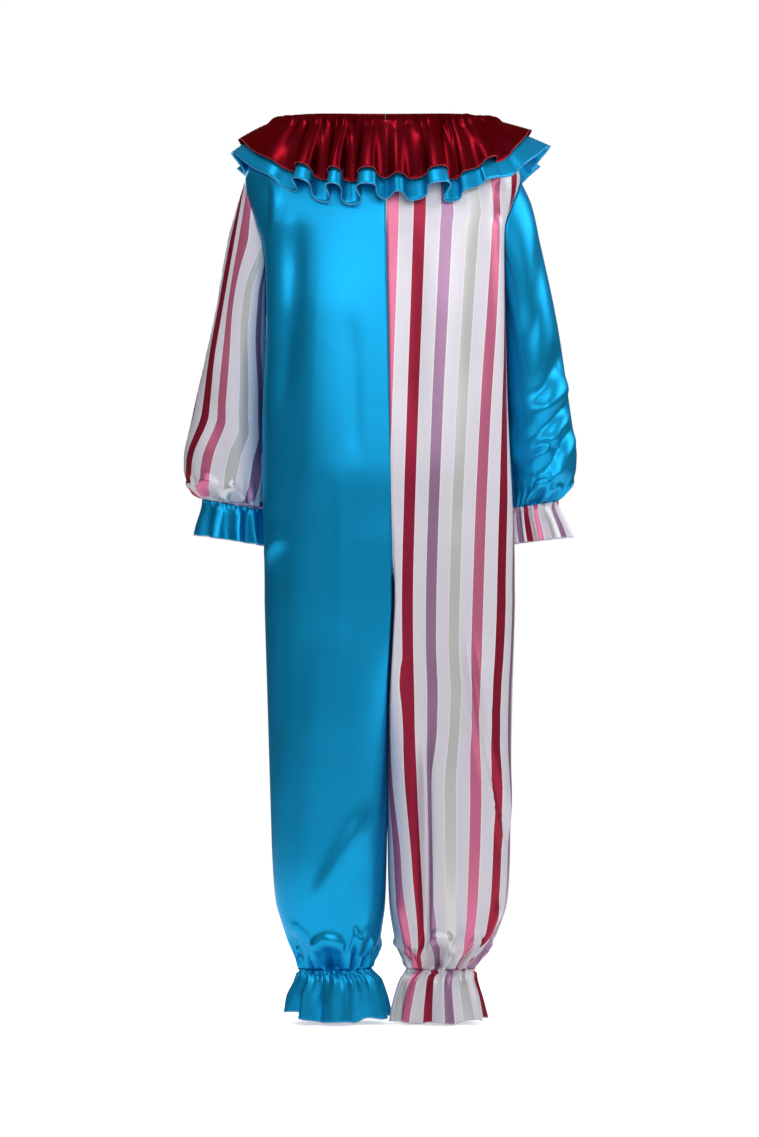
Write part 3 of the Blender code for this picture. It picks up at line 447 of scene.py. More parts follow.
def rippled(part, side, angle, level):
    """How far the gathers above an elastic, or the flutes of the ruffle below it, move the cloth out."""
    e = ELASTICS[part]
    reach = e.reach + e.lobe * (0.5 + 0.5 * np.sin(e.lobes * angle + side))
    above = np.clip(1 - (level - e.level) / reach, 0, 1) ** e.fade
    gathers = e.gather * above * folds_at(angle, e.gathers, e.phase + side, 0.6)
    puffs = puffed(part, side, angle / math.pi, np.maximum(level - e.level, 0))
    below = smooth((e.level - level) / 0.010)
    down = np.clip((e.level - level) / (e.level - e.hem), 0, 1)
    flutes = (e.flute + e.flare * down) * folds_at(angle, e.flutes, e.phase + side, e.sharp)
    flutes = flutes + e.tuck * (1 - down) ** 3 * ring_wave(angle, TUCKS, side)
    return (gathers + puffs) * (1 - below) + below * flutes


def leg_point(side, face, wrap, level):
    """A point of a leg or its ruffle, wrap 0 at the inseam and 1 at the outer side, on the back or front."""
    s = sampled(LEGS, level)
    inner = side * s.middle + s.gap
    outer = s.left if side < 0 else s.right
    angle = wrap * math.pi
    depth = np.where(face < 0, s.back, s.front)
    half = (outer - inner) / 2
    square = np.where(wrap < 0.5, s.inner_square, s.square)
    across = np.sign(np.cos(angle)) * np.abs(np.cos(angle)) ** square
    radial = 1 + rippled("leg", side, face * angle, level) / ((half + depth) / 2)
    x = side * ((inner + outer) / 2 - half * across * radial)
    return stack(x, face * depth * np.maximum(np.sin(angle), 0) ** square * radial, level)


def panel_turns(column, inner_square):
    """Places round the torso and round the leg, from 0 to 1, for a column of a body panel.

    The first columns are kept for the leg's inner side. Past them a column lies as far from the inner edge
    on the torso as on the leg, so it runs straight down.
    """
    inner = np.clip(column / INNER_COLUMNS, 0, 1)
    past = np.clip((column - INNER_COLUMNS) / (1 - INNER_COLUMNS), 0, 1)
    torso = INNER_TURN * inner + (1 - INNER_TURN) * past**COLUMN_EASE
    out = np.sin(torso * math.pi / 2) ** COLUMN_SQUARE
    leg = np.arccos(np.clip(1 - 2 * out, 0, 1) ** (1 / inner_square)) / math.pi
    corner = np.arccos(LEG_CORNER ** (1 / inner_square)) / math.pi
    leg = np.where(inner < 1, inner * corner, np.maximum(leg, corner))
    outer = 0.5 + 0.5 * (torso - LEG_MIDDLE) / (1 - LEG_MIDDLE)
    return torso, np.where(out > 0.5, outer, leg), out


def body_point(side, face, column, level, edge_y):
    """A point of a body panel. edge_y is where its side edge lies, front to back."""
    edge = torso_turn(level, edge_y)
    torso, leg, out = panel_turns(column, sampled(LEGS, level).inner_square)
    turn = torso * edge if face < 0 else 2 - torso * (2 - edge)
    under = np.clip((CROTCH + CROTCH_RISE - level) / CROTCH_RISE, 0, 1)
    share = 1 - np.sqrt(1 - under * under)
    share = share + (smooth((CROTCH + HIP_BLEND - level) / (1.3 * HIP_BLEND)) - share) * smooth(out / 0.76)
    share = share[..., None]
    return (1 - share) * torso_point(side, turn, level) + share * leg_point(side, face, leg, level)


def armhole_level(angle):
    """Height of the armhole at an angle from its top."""
    return (SHOULDER + UNDERARM) / 2 + (SHOULDER - UNDERARM) / 2 * np.cos(angle)


def armhole_y(angle):
    return -np.where(np.sin(angle) > 0, ARMHOLE_BACK, ARMHOLE_FRONT) * np.sin(angle)


def finer(values, times):
    """A row of values with times as many steps."""
    values = np.array(values, float)
    return np.interp(np.arange((len(values) - 1) * times + 1) / times, np.arange(len(values)), values)


def body_grid(side, face):
    """Points of one body panel, rows from the ankle up and columns from its inner edge to its side edge."""
    low = finer([ANKLE, -1.4295, -1.416, -1.398, -1.372, -1.335, -1.290], 5)
    leg = finer([-1.290, -1.220, -1.140, -1.060, -0.985, -0.910, -0.850, -0.810, CROTCH], 6)
    crotch = CROTCH + CROTCH_RISE * (1 - np.sqrt(1 - finer([0, 0.25, 0.5, 0.75, 1], 4) ** 2))
    torso = finer([CROTCH + CROTCH_RISE, -0.690, -0.620, -0.550, -0.480, -0.410, -0.345, -0.295], 6)
    angle = np.linspace(math.pi, 0, 49)
    neck = finer([SHOULDER, -0.070, -0.048, -0.030, -0.014, 0.0], 4)
    below_arm = np.concatenate([low, leg[1:], crotch[1:], torso[1:]])
    level = np.concatenate([below_arm, armhole_level(angle), neck[1:]])
    edge = np.concatenate([0 * below_arm, armhole_y(-face * angle), 0 * neck[1:]])
    outer = np.concatenate([np.linspace(0, 0.985, 82)[1:], [0.993, 1]])
    column = np.concatenate([np.linspace(0, INNER_COLUMNS, 11), INNER_COLUMNS + (1 - INNER_COLUMNS) * outer])
    wrap, level = np.meshgrid(column, level)
    points = body_point(side, face, wrap, level, edge[:, None] + 0 * wrap)
    return hanging(points, level[:, 0], wrap, side), level, wrap


def hanging(points, level, wrap, side):
    """The points with the cloth from hip to leg hung straight, to dive inwards only beside the crotch."""
    x, y = side * points[..., 0], points[..., 1]
    ends = []
    for height, flat in ((HANG_TOP, 0.0), (HANG_LOW, HANG_FLAT)):
        row = int(np.argmin(np.abs(level - height)))
        order = np.argsort(x[row])
        ends.append(np.interp(np.maximum(x, flat), x[row][order], y[row][order]))
    t = smooth((HANG_TOP - level) / (HANG_TOP - HANG_LOW))[:, None]
    hung = (1 - t) * ends[0] + t * ends[1]
    zone = smooth((HANG_TOP - level) / HANG_TOP_FADE) * smooth((level - HANG_LOW) / HANG_LOW_FADE)
    inwards = smooth((x - x[:, :1] - 0.0005) / HANG_EDGE)
    weight = zone[:, None] * inwards * smooth((HANG_SIDE - wrap) / HANG_SIDE_FADE)
    return stack(points[..., 0], y + weight * (hung - y), points[..., 2])


def tube_point(side, angle, level):
    """A point of a sleeve's tube or its cuff, angle 0 at the outer side and a quarter turn at the back."""
    s = sampled(SLEEVES[side], level)
    half = (s.outer - s.inner) / 2
    radial = 1 + rippled("sleeve", side, angle, level) / ((half + s.depth) / 2)
    tilt = WRIST_TILT[side] * smooth((-0.50 - level) / 0.12)
    x = side * ((s.outer + s.inner) / 2 + half * radial * np.cos(angle))
    return stack(x, s.middle_y - s.depth * radial * np.sin(angle), level + tilt * np.cos(angle))


def sleeve_angles(count):
    """Angles once round a sleeve, from under the arm."""
    return np.linspace(-110, 250, count) * math.pi / 180


def sleeve_grid(side):
    """Rings of a sleeve from the armhole down to the wrist elastic, starting under the arm."""
    down = finer([0, 0.07, 0.15, 0.24, 0.34, 0.45, 0.56, 0.67, 0.77, 0.86, 0.92, 0.96, 1.0], 8)
    angle, down = np.meshgrid(sleeve_angles(145), down)
    top = armhole_level(angle)
    level = top + down * (WRIST - top)
    armhole = np.empty(angle.shape + (3,))
    for face in (-1, 1):
        at = (np.sin(angle) >= 0) == (face < 0)
        armhole[at] = body_point(side, face, np.ones(at.sum()), top[at], armhole_y(angle[at]))
    left = (np.maximum(0, 1 - down / SLEEVE_FADE) ** 2)[..., None]
    points = tube_point(side, angle, level) + left * (armhole - tube_point(side, angle, top))
    return points, level, angle


def cuff_grid(side):
    angle, level = np.meshgrid(sleeve_angles(289), np.linspace(WRIST, CUFF_HEM, 25))
    return tube_point(side, angle, level), level


def ankle_grid(side):
    turn, level = np.meshgrid(np.linspace(-1, 1, 361), np.linspace(ANKLE, ANKLE_HEM, 31))
    points = np.where(
        (turn < 0)[..., None],
        leg_point(side, -1, 1 + np.minimum(turn, 0), level),
        leg_point(side, 1, 1 - np.maximum(turn, 0), level),
    )
    down = (ANKLE - level) / (ANKLE - ANKLE_HEM)
    raised = HEM_LIFT[side] * (1 + 0.3 * np.cos(math.pi * turn)) * np.abs(np.cos(math.pi * turn)) ** 1.5
    points[..., 2] += down * (raised + HEM_WAVE * folds_at(turn * math.pi, HEM_WAVES, side, 0.75))
    return points, level


def neck_point(azimuth, height):
    """A point of the neck line, azimuth in degrees from the centre back towards the wearer's right."""
    azimuth = np.mod(azimuth, 360)
    side = np.where(azimuth <= 180, 1, -1)
    return torso_point(side, np.minimum(azimuth, 360 - azimuth) / 90, 0.0 * azimuth) + stack(0, 0, height)


def neck_outwards(azimuth):
    along = neck_point(azimuth + 1, 0 * azimuth) - neck_point(azimuth - 1, 0 * azimuth)
    out = stack(along[..., 1], -along[..., 0], 0 * azimuth)
    return out / np.linalg.norm(out, axis=-1, keepdims=True)


def collar_stations(steps):
    """Azimuth, reach and sideways curl of each column of the collar."""
    count = 2 * FRONT_WAVES
    front = [Fold(90 + 180 * i / count, FRONT_REACHES[i % 4], FRONT_CURL) for i in range(1, count)]
    back = [fold._replace(azimuth=fold.azimuth % 360) for fold in BACK_FOLDS]
    around = sorted(fold for fold in back + front if fold.azimuth > 0)
    folds = [Fold(COLLAR_OPENING, -0.4, 0.0), *around, Fold(360 - COLLAR_OPENING, -0.4, 0.0)]
    found = []
    for low, high in zip(folds, folds[1:]):
        for t in np.arange(steps) / steps:
            span = high.azimuth - low.azimuth
            curl = (low.curl + (high.curl - low.curl) * t) * span * math.sin(2 * math.pi * t)
            found.append((low.azimuth + t * span, low.reach + smooth(t) * (high.reach - low.reach), curl))
    return np.array(found + [(folds[-1].azimuth, folds[-1].reach, 0.0)]).T


def front_pleats():
    i = np.arange(FRONT_PLEATS)
    return zip(
        92 + i * 176 / (FRONT_PLEATS - 1) + 2.2 * np.sin(2.3 * i),
        0.0040 + 0.0013 * np.sin(1.7 * i + 1),
        1.5 + 0.4 * np.sin(2.9 * i),
        0.58 + 0.25 * np.sin(1.3 * i),
        3.0 * np.sin(2.1 * i),
    )


def pleated(azimuth, row):
    """How far in the pleats from the neck elastic draw the cloth."""
    depth = np.zeros(azimuth.shape)
    for p in (*BACK_PLEATS, *table(Pleat, *front_pleats())):
        off = np.mod(azimuth - p.azimuth + 180, 360) - 180 - p.lean * row
        across = bump(off / (p.width * (0.75 + 1.1 * row)))
        depth += p.depth * across * smooth(row / 0.03) * smooth((p.reach - row) / p.reach)
    return depth


def collar_grid(kind):
    """Points of one layer of the collar, rows from the neck seam to the hem."""
    layer = LAYERS[kind]
    azimuth, reach, curl = collar_stations(19)
    row = np.concatenate([[0, 0.015, 0.035, 0.06, 0.09, 0.12], np.linspace(0.155, 1, 27)])
    azimuth, row = np.meshgrid(azimuth, row)
    azimuth = azimuth + layer.lean * curl * row**1.5
    reach = layer.reach * reach * (1 - layer.flat * bump((azimuth - FLAT_AT) / FLAT_WIDTH))
    grown = smooth(row / 0.1) * (0.115 + 0.885 * row**1.3)
    pleats = pleated(azimuth, row) * layer.pleats
    s = sampled(COLLAR, np.minimum(azimuth, 360 - azimuth))
    right, left = bump((azimuth - TIP_RIGHT) / TIP_SPREAD), bump((azimuth - TIP_LEFT) / TIP_SPREAD)
    drawn_in = np.maximum(0.0014 * smooth(row / 0.03) - pleats, -0.7 * s.out * row - 0.0002)
    out = 0.0003 + WAVE_OUT * reach * grown + drawn_in
    lift = TIP_LIFT_RIGHT * right + TIP_LIFT_LEFT * left
    rise = UNDER_SEAM + WAVE_UP * reach * grown + lift * row**1.5
    at = azimuth + curl * row**1.5
    if kind == "top":
        out = out + LAYER_GAP * smooth(row / 0.2)
        rise = rise + TOP_SEAM - UNDER_SEAM + (HEADING - pleats) * np.sin(math.pi * np.minimum(1, row / 0.3))
        row = row * (TOP_LENGTH - TOP_SHORTER_RIGHT * right - TOP_SHORTER_LEFT * left)
    out = out + s.out * (1 + layer.spread * np.maximum(0, np.sin(np.radians(azimuth))) ** 2) * row**0.78
    rise = rise - s.drop * row**1.25
    return neck_point(at, rise) + out[..., None] * neck_outwards(azimuth)


def casing_grid():
    azimuth = np.linspace(COLLAR_OPENING, 360 - COLLAR_OPENING, 361)
    azimuth, height = np.meshgrid(azimuth, [0.0003, 0.004, 0.009, CASING_HEIGHT])
    return neck_point(azimuth, height), height


def along_rows(points):
    """Each point's distance along its row, in metres."""
    steps = np.linalg.norm(np.diff(points, axis=1), axis=-1)
    return np.concatenate([np.zeros((len(points), 1)), np.cumsum(steps, axis=1)], axis=1)


def down_columns(points):
    return along_rows(points.swapaxes(0, 1)).swapaxes(0, 1)


def turned_out(vectors, points, middle):
    """Unit vectors at the points of a grid, turned away from its middle."""
    vectors = vectors / np.maximum(np.linalg.norm(vectors, axis=-1, keepdims=True), 1e-12)
    return vectors * np.sign(np.sum(vectors * (points - middle)))


def outwards(points, middle):
    """Unit normals of a grid of points."""
    return turned_out(np.cross(np.gradient(points, axis=0), np.gradient(points, axis=1)), points, middle)


def sideways(points, middle):
    """Level unit vectors square to each row of a panel's points."""
    along = np.gradient(points, axis=1)
    return turned_out(stack(along[..., 1], -along[..., 0], 0 * along[..., 2]), points, middle)


def creased(part, side, points, normals):
    """The points moved along their normals by the part's main creases."""
    x, z = points[..., 0], points[..., 2]
    height = np.zeros(x.shape)
    for face in (-1, 1):
        facing = smooth(face * normals[..., 1] / 0.45)
        for c in CREASES[part, side, face]:
            along = np.array([c.x1 - c.x0, c.z1 - c.z0])
            length = np.hypot(*along)
            along = along / length
            t = ((x - c.x0) * along[0] + (z - c.z0) * along[1]) / length
            off = (x - c.x0) * -along[1] + (z - c.z0) * along[0] - c.bow * 4 * t * (1 - t)
            inside = smooth(t / 0.3) * smooth((1 - t) / 0.3)
            height += facing * c.depth * inside * bump(off / np.where(off > 0, c.left, c.right))
    return points + height[..., None] * normals


def seam_dip(points, normals, edges):
    """The points drawn in a little along the edges that are sewn to another piece."""
    across, down = along_rows(points), down_columns(points)
    depth = np.zeros(across.shape)
    distances = {"inner": across, "side": across[:, -1:] - across, "low": down, "high": down[-1:] - down}
    for edge in edges:
        facing = smooth(np.abs(normals[..., 1]) / 0.6) if edge == "inner" else 1.0
        depth += SEAM_DEPTH * facing * bump(distances[edge] / SEAM_WIDTH)
    return points - depth[..., None] * normals


def placed(name, data):
    """A new object, and the only one selected."""
    made = bpy.data.objects.new(name, data)
    bpy.context.scene.collection.objects.link(made)
    bpy.ops.object.select_all(action="DESELECT")
    bpy.context.view_layer.objects.active = made
    made.select_set(True)
    return made


def clothed(piece, material_name):
    piece.data.materials.clear()
    piece.data.materials.append(bpy.data.materials[material_name])
    return piece


def cloth(name, points, across, down, closed, wall, material_name):
    """A thin shell of cloth from a grid of points on its outer side, with its own flat cut as UV map."""
    rows, columns = points.shape[:2]
    kept = columns - 1 if closed else columns
    r, c = np.meshgrid(np.arange(rows - 1), np.arange(columns - 1), indexing="ij")
    r, c = r.ravel(), c.ravel()
    corner_rows = np.stack([r, r, r + 1, r + 1], axis=1)
    corner_columns = np.stack([c, c + 1, c + 1, c], axis=1)
    middle = points.reshape(-1, 3).mean(axis=0)
    n = np.cross(np.gradient(points, axis=1), np.gradient(points, axis=0))
    if np.sum(n * (points - middle) * (1, 1, 0)) < 0:
        corner_rows, corner_columns = corner_rows[:, ::-1], corner_columns[:, ::-1]
    faces = corner_rows * kept + corner_columns % kept
    mesh = bpy.data.meshes.new(name)
    mesh.from_pydata(points[:, :kept].reshape(-1, 3), [], faces.tolist())
    uv = mesh.uv_layers.new(name="cut")
    flat = np.stack([across[corner_rows, corner_columns], down[corner_rows, corner_columns]], axis=-1)
    uv.data.foreach_set("uv", flat.astype(np.float32).ravel())
    mesh.shade_smooth()
    piece = placed(name, mesh)
    shell = piece.modifiers.new("wall", "SOLIDIFY")
    shell.thickness = wall
    shell.offset = -1
    bpy.ops.object.modifier_apply(modifier=shell.name)
    return clothed(piece, material_name)


def declared(piece, node, points, with_pieces=()):
    """Hides the CAD node that a cloth stands for, and hangs the cloth and its other pieces under the root."""
    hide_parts(node)
    width, length = float(along_rows(points).max()), float(down_columns(points).max())
    a, b = np.diff(points, axis=0)[:, :-1], np.diff(points, axis=1)[:-1]
    for part in (piece, *with_pieces):
        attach(part, "root")


def rolled_edge(name, points, closed, radius, material_name):
    """A thin round edge along a hem."""
    curve = bpy.data.curves.new(name, "CURVE")
    curve.dimensions = "3D"
    curve.bevel_depth = radius
    curve.bevel_resolution = 1
    curve.use_fill_caps = not closed
    spline = curve.splines.new("POLY")
    points = points[:-1] if closed else points
    spline.points.add(len(points) - 1)
    spline.points.foreach_set("co", np.concatenate([points, np.ones((len(points), 1))], axis=1).ravel())
    spline.use_cyclic_u = closed
    placed(name, curve)
    bpy.ops.object.convert(target="MESH")
    bpy.ops.object.shade_smooth()
    return clothed(bpy.context.view_layer.objects.active, material_name)


def ruffle(names, node, points, down, closed, sizes, material, hem, rests_on, fullness=1.0, start=0.0):
    """A gathered strip of cloth with a rolled edge along its hem."""
    across = along_rows(points)
    cut = across / across[:, -1:] * across[-1, -1] * fullness + start
    edge = rolled_edge(names.format("hem"), points[-1], closed, sizes.edge, hem)
    piece = cloth(names.format("cloth"), points, cut, down, closed, sizes.wall, material)
    declared(piece, node, points, (edge,))


def fill(tree, node, inputs):
    """Sets a node's inputs to values, or links them from sockets."""
    for key, value in inputs.items():
        if isinstance(value, bpy.types.NodeSocket):
            tree.links.new(value, node.inputs[key])
        else:
            node.inputs[key].default_value = value


def add(tree, kind, inputs=None, **settings):
    """A new shader node with its inputs and settings."""
    node = tree.nodes.new("ShaderNode" + kind)
    for key, value in settings.items():
        setattr(node, key, value)
    fill(tree, node, inputs or {})
    return node


def output(tree, kind, inputs=None, **settings):
    """The first output of a new shader node."""
    return add(tree, kind, inputs, **settings).outputs[0]


def maths(tree, operation, *values):
    return output(tree, "Math", dict(enumerate(values)), operation=operation)


def distance(tree, one, other):
    return maths(tree, "ABSOLUTE", maths(tree, "SUBTRACT", one, other))


def new_group(name, inputs, outputs):
    """An empty shader group with its sockets, and its input and output nodes."""
    tree = bpy.data.node_groups.new(name, "ShaderNodeTree")
    for way, sockets in (("INPUT", inputs), ("OUTPUT", outputs)):
        for label, kind in sockets.items():
            tree.interface.new_socket(name=label, in_out=way, socket_type="NodeSocket" + kind)
    return tree, tree.nodes.new("NodeGroupInput"), tree.nodes.new("NodeGroupOutput")


def stripe_group(colours, width, gap):
    """Colours of the striped cloth by the distance across it, in metres."""
    tree, given, result = new_group("stripes", {"Across": "Float"}, {"Color": "Color", "Shine": "Float"})
    step = maths(tree, "DIVIDE", given.outputs["Across"], width + gap)
    place = maths(tree, "MULTIPLY", maths(tree, "FRACT", step), width + gap)
    cycle = maths(tree, "FRACT", maths(tree, "DIVIDE", maths(tree, "FLOOR", step), 4.0))
    ramp = add(tree, "ValToRGB", {"Fac": maths(tree, "ADD", cycle, 0.05)})
    ramp.color_ramp.interpolation = "CONSTANT"
    while len(ramp.color_ramp.elements) < 4:
        ramp.color_ramp.elements.new(0.5)
    for element, at, colour in zip(ramp.color_ramp.elements, (0.0, 0.25, 0.5, 0.75), colours[1:]):
        element.position = at
        element.color = (*colour, 1.0)
    from_middle = distance(tree, place, width / 2)
    soft = {"From Min": width / 2 + STRIPE_BLUR, "From Max": width / 2 - STRIPE_BLUR}
    coloured = output(tree, "MapRange", {"Value": from_middle, **soft})
    beside = distance(tree, from_middle, width / 2 + MARGIN_INSET)
    around = distance(tree, from_middle, width / 2 + gap - MARGIN_INSET)
    margin = maths(tree, "LESS_THAN", maths(tree, "MINIMUM", beside, around), MARGIN_WIDTH / 2)
    white = {"Factor": margin, "A": (*colours[0], 1.0), "B": (0.95, 0.95, 0.96, 1.0)}
    ground = add(tree, "Mix", white, data_type="RGBA").outputs["Result"]
    layers = {"Factor": coloured, "A": ground, "B": ramp.outputs["Color"]}
    mixed = add(tree, "Mix", layers, data_type="RGBA").outputs["Result"]
    shine = output(tree, "MapRange", {"Value": coloured, "To Min": 0.12, "To Max": 0.55})
    fill(tree, result, {"Color": mixed, "Shine": shine})


def satin_group():
    """The fine unevenness of satin: a bumped normal and a roughness, from the place on the cut."""
    made = {"Normal": "Vector", "Roughness": "Float"}
    tree, given, result = new_group("satin", {"Cut": "Vector", "Gloss": "Float"}, made)
    cut = given.outputs["Cut"]
    crinkle = output(tree, "TexNoise", {"Vector": cut, "Scale": 22.0, "Detail": 1.0})
    thread = output(tree, "Mapping", {"Vector": cut, "Scale": (900.0, 60.0, 1.0)})
    slub = output(tree, "TexNoise", {"Vector": thread, "Scale": 1.0, "Detail": 1.0})
    soft = {"Height": crinkle, "Strength": 0.05, "Distance": 0.004}
    fine = {"Height": slub, "Strength": 0.05, "Distance": 0.0006}
    fine["Normal"] = output(tree, "Bump", soft)
    uneven = output(tree, "MapRange", {"Value": slub, "To Min": 0.95, "To Max": 0.85})
    rough = maths(tree, "SUBTRACT", uneven, given.outputs["Gloss"])
    fill(tree, result, {"Normal": output(tree, "Bump", fine), "Roughness": rough})


def new_material(name):
    """A material with its tree and its shader."""
    material = bpy.data.materials.new(name)
    material.use_nodes = True
    return material, material.node_tree, material.node_tree.nodes["Principled BSDF"]


def satin(name, colour, metallic, gloss, tint=(1, 1, 1)):
    """A satin material, plain, or striped across its cut if it has no colour of its own."""
    _, tree, shader = new_material(name)
    cut = output(tree, "UVMap", uv_map="cut")
    surface = add(tree, "Group", node_tree=bpy.data.node_groups["satin"])
    fill(tree, surface, {"Cut": cut, "Gloss": gloss})
    look = {key: surface.outputs[key] for key in ("Normal", "Roughness")}
    look["Tangent"] = output(tree, "Tangent", direction_type="UV_MAP", uv_map="cut")
    look.update({"Anisotropic": 0.45, "Specular IOR Level": 0.3, "Specular Tint": (*tint, 1.0)})
    if colour:
        look.update({"Base Color": (*colour, 1.0), "Metallic": metallic})
    else:
        stripes = add(tree, "Group", node_tree=bpy.data.node_groups["stripes"])
        across = add(tree, "SeparateXYZ", {"Vector": cut}).outputs["X"]
        fill(tree, stripes, {"Across": across})
        look.update({"Base Color": stripes.outputs["Color"], "Metallic": stripes.outputs["Shine"]})
    fill(tree, shader, look)


def plain(name, colour, roughness, more=()):
    material, tree, shader = new_material(name)
    fill(tree, shader, {"Base Color": (*colour, 1.0), "Roughness": roughness, **dict(more)})
    return material


def passing(across, offset, seen):
    """How far across each row of cloth it passes a line, from the offset of its points from that line."""
    place = []
    for row, away, use in zip(across, offset, seen):
        order = np.argsort(away[use])
        place.append(np.interp(0, away[use][order], row[use][order]))
    return np.array(place)[:, None]


def body_cut(side, points, level):
    """Places across the cut of a body panel, with the cloth that the ankle elastic gathers let out."""
    across = along_rows(points)
    height = level[:, 0]
    x = side * points[..., 0]
    seen = np.arange(x.shape[1]) <= x.argmax(axis=1)[:, None]
    lines = sampled(BODY_STRIPES, height)
    inner = sampled(INNER_STRIPE, height).edge
    wine, pink, shown = (passing(across, x - line[:, None], seen) for line in (lines.wine, lines.pink, inner))
    fullest = np.interp(GATHER_TOP, height, across[:, -1])
    spread = np.where(level[:, :1] < GATHER_TOP, fullest / across[:, -1:], 1.0)
    below_hip = smooth((-0.90 - level[:, :1]) / 0.10)
    edge = wine - EDGE_TO_WINE + below_hip * (shown - wine + EDGE_TO_WINE)
    between = np.clip(across - wine, 0, pink - wine) * WINE_TO_PINK / (pink - wine)
    inside = np.clip(across - wine, edge - wine, 0) * EDGE_TO_WINE / (wine - edge)
    beyond = np.minimum(across - edge, 0) + np.maximum(across - pink, 0)
    cut = WINE_ON_CUT + between + inside + beyond * spread
    return np.where(level < STRIPES_DRAWN, cut[np.argmin(np.abs(height - STRIPES_DRAWN))], cut)


def sleeve_cut(side, points, level, angle):
    """Places across the cut of a sleeve, with the cloth that the wrist elastic gathers let out."""
    across = along_rows(points)
    middle = level.mean(axis=1)
    lines = sampled(SLEEVE_STRIPES, points[..., 2])
    seen = (angle > -0.25) & (angle < 0.60 * math.pi)
    wine, pink = (passing(across, -side * points[..., 0] - line, seen) for line in (lines.wine, lines.pink))
    fullest = np.interp(-WRIST_GATHER_TOP, -middle, across[:, -1])
    spread = np.where(middle < WRIST_GATHER_TOP, fullest / across[:, -1], 1.0)[:, None]
    step = pink - wine
    between = np.clip(pink - across, 0, step) * SLEEVE_STRIPE_STEP / np.maximum(step, SLEEVE_STEP_LEAST)
    eased = 0.40 + 0.60 * smooth((-0.19 - level) / 0.10)
    beyond = np.maximum(wine - across, 0) - np.maximum(across - pink, 0) * eased
    return SLEEVE_PINK_ON_CUT + between + beyond * spread


def colour_property(name, description, default):
    return bpy.props.FloatVectorProperty(
        name=name, description=description, subtype="COLOR", size=3, default=default
    )


def length_property(name, description, default):
    return bpy.props.FloatProperty(name=name, description=description, default=default, unit="LENGTH")


class JumpsuitColours(bpy.types.PropertyGroup):
    blue: colour_property("Blue", "Plain satin", (0.005, 0.315, 0.620))
    burgundy: colour_property("Burgundy", "Top ruffle of the collar", (0.150, 0.003, 0.008))
    ground: colour_property("White", "Ground of the striped satin", (0.840, 0.800, 0.885))
    pink: colour_property("Pink", "First stripe", (0.660, 0.170, 0.300))
    wine: colour_property("Wine", "Second stripe", (0.340, 0.012, 0.045))
    lilac: colour_property("Lilac", "Third stripe", (0.370, 0.210, 0.350))
    grey: colour_property("Grey", "Fourth stripe", (0.640, 0.650, 0.650))


class JumpsuitSizes(bpy.types.PropertyGroup):
    wall: length_property("Cloth", "Thickness of the cloth", 0.0012)
    casing: length_property("Casing", "Thickness of the folded neck casing", 0.002)
    stripe: length_property("Stripe", "Width of a stripe", 0.020)
    gap: length_property("Gap", "White between two stripes", 0.025)
    edge: length_property("Hem edge", "Radius of a rolled hem", 0.0008)
    camera: length_property("Camera", "Distance of the camera", 9.0)


class JUMPSUIT_OT_materials(bpy.types.Operator):
    """Makes the satins and the thread of the hems"""

    bl_idname = "jumpsuit.materials"
    bl_label = "Materials"

    def execute(self, context):
        colours, sizes = context.scene.jumpsuit_colours, context.scene.jumpsuit_sizes
        palette = [tuple(getattr(colours, key)) for key in ("ground", "pink", "wine", "lilac", "grey")]
        stripe_group(palette, sizes.stripe, sizes.gap)
        satin_group()
        satin("satin_blue", tuple(colours.blue), 0.72, 0.52, (0.5, 0.85, 1.0))
        satin("satin_burgundy", tuple(colours.burgundy), 0.95, 0.60, (0.8, 0.12, 0.16))
        satin("satin_striped", None, None, 0.50)
        plain("edge_red", (0.42, 0.010, 0.025), 0.4)
        plain("edge_blue", (0.10, 0.42, 0.72), 0.4)
        plain("edge_silver", (0.55, 0.60, 0.75), 0.4)
        return {"FINISHED"}


class JUMPSUIT_OT_body(bpy.types.Operator):
    """Makes the four body panels, each from the shoulder to the ankle elastic"""

    bl_idname = "jumpsuit.body"
    bl_label = "Body panels"

    def execute(self, context):
        wall = context.scene.jumpsuit_sizes.wall
        for side, name, material in HALVES:
            for face, place in ((-1, "back"), (1, "front")):
                points, level, _ = body_grid(side, face)
                normals = sideways(points, np.array((side * 0.1, 0.0, -0.7)))
                points = creased("body", side, points, normals)
                cut = body_cut(side, points, level)
                points = seam_dip(points, normals, ("inner", "side", "low"))
                piece = cloth(f"{place}_panel_{name}", points, cut, level, False, wall, material)
                declared(piece, f"{place}_{name}", points)
        return {"FINISHED"}


class JUMPSUIT_OT_sleeves(bpy.types.Operator):
    """Makes the two sleeves, from the armhole to the wrist elastic"""

    bl_idname = "jumpsuit.sleeves"
    bl_label = "Sleeves"

    def execute(self, context):
        wall = context.scene.jumpsuit_sizes.wall
        for side, name, material in ((-1, "left", "satin_striped"), (1, "right", "satin_blue")):
            points, level, angle = sleeve_grid(side)
            normals = outwards(points, np.array((side * 0.26, 0.03, -0.37)))
            points = creased("sleeve", side, points, normals)
            points[:, -1] = points[:, 0]
            cut = sleeve_cut(side, points, level, angle)
            points = seam_dip(points, normals, ("low", "high"))
            piece = cloth(f"sleeve_cloth_{name}", points, cut, level, True, wall, material)
            declared(piece, f"sleeve_{name}", points)
        return {"FINISHED"}


class JUMPSUIT_OT_ruffles(bpy.types.Operator):
    """Makes the ruffles below the wrist and ankle elastics, each with its rolled hem"""

    bl_idname = "jumpsuit.ruffles"
    bl_label = "Wrist and ankle ruffles"

    def execute(self, context):
        sizes = context.scene.jumpsuit_sizes
        for side, name, material in HALVES:
            for kind, grid, rests_on, *cut in (
                ("cuff_ruffle", cuff_grid, f"sleeve_cloth_{name}", 1.35, 0.020),
                ("ankle_ruffle", ankle_grid, f"back_panel_{name}", 1.0, 0.105),
            ):
                names, node = f"{kind}_{{}}_{name}", f"{kind}_{name}"
                ruffle(names, node, *grid(side), True, sizes, material, "edge_silver", rests_on, *cut)
        return {"FINISHED"}


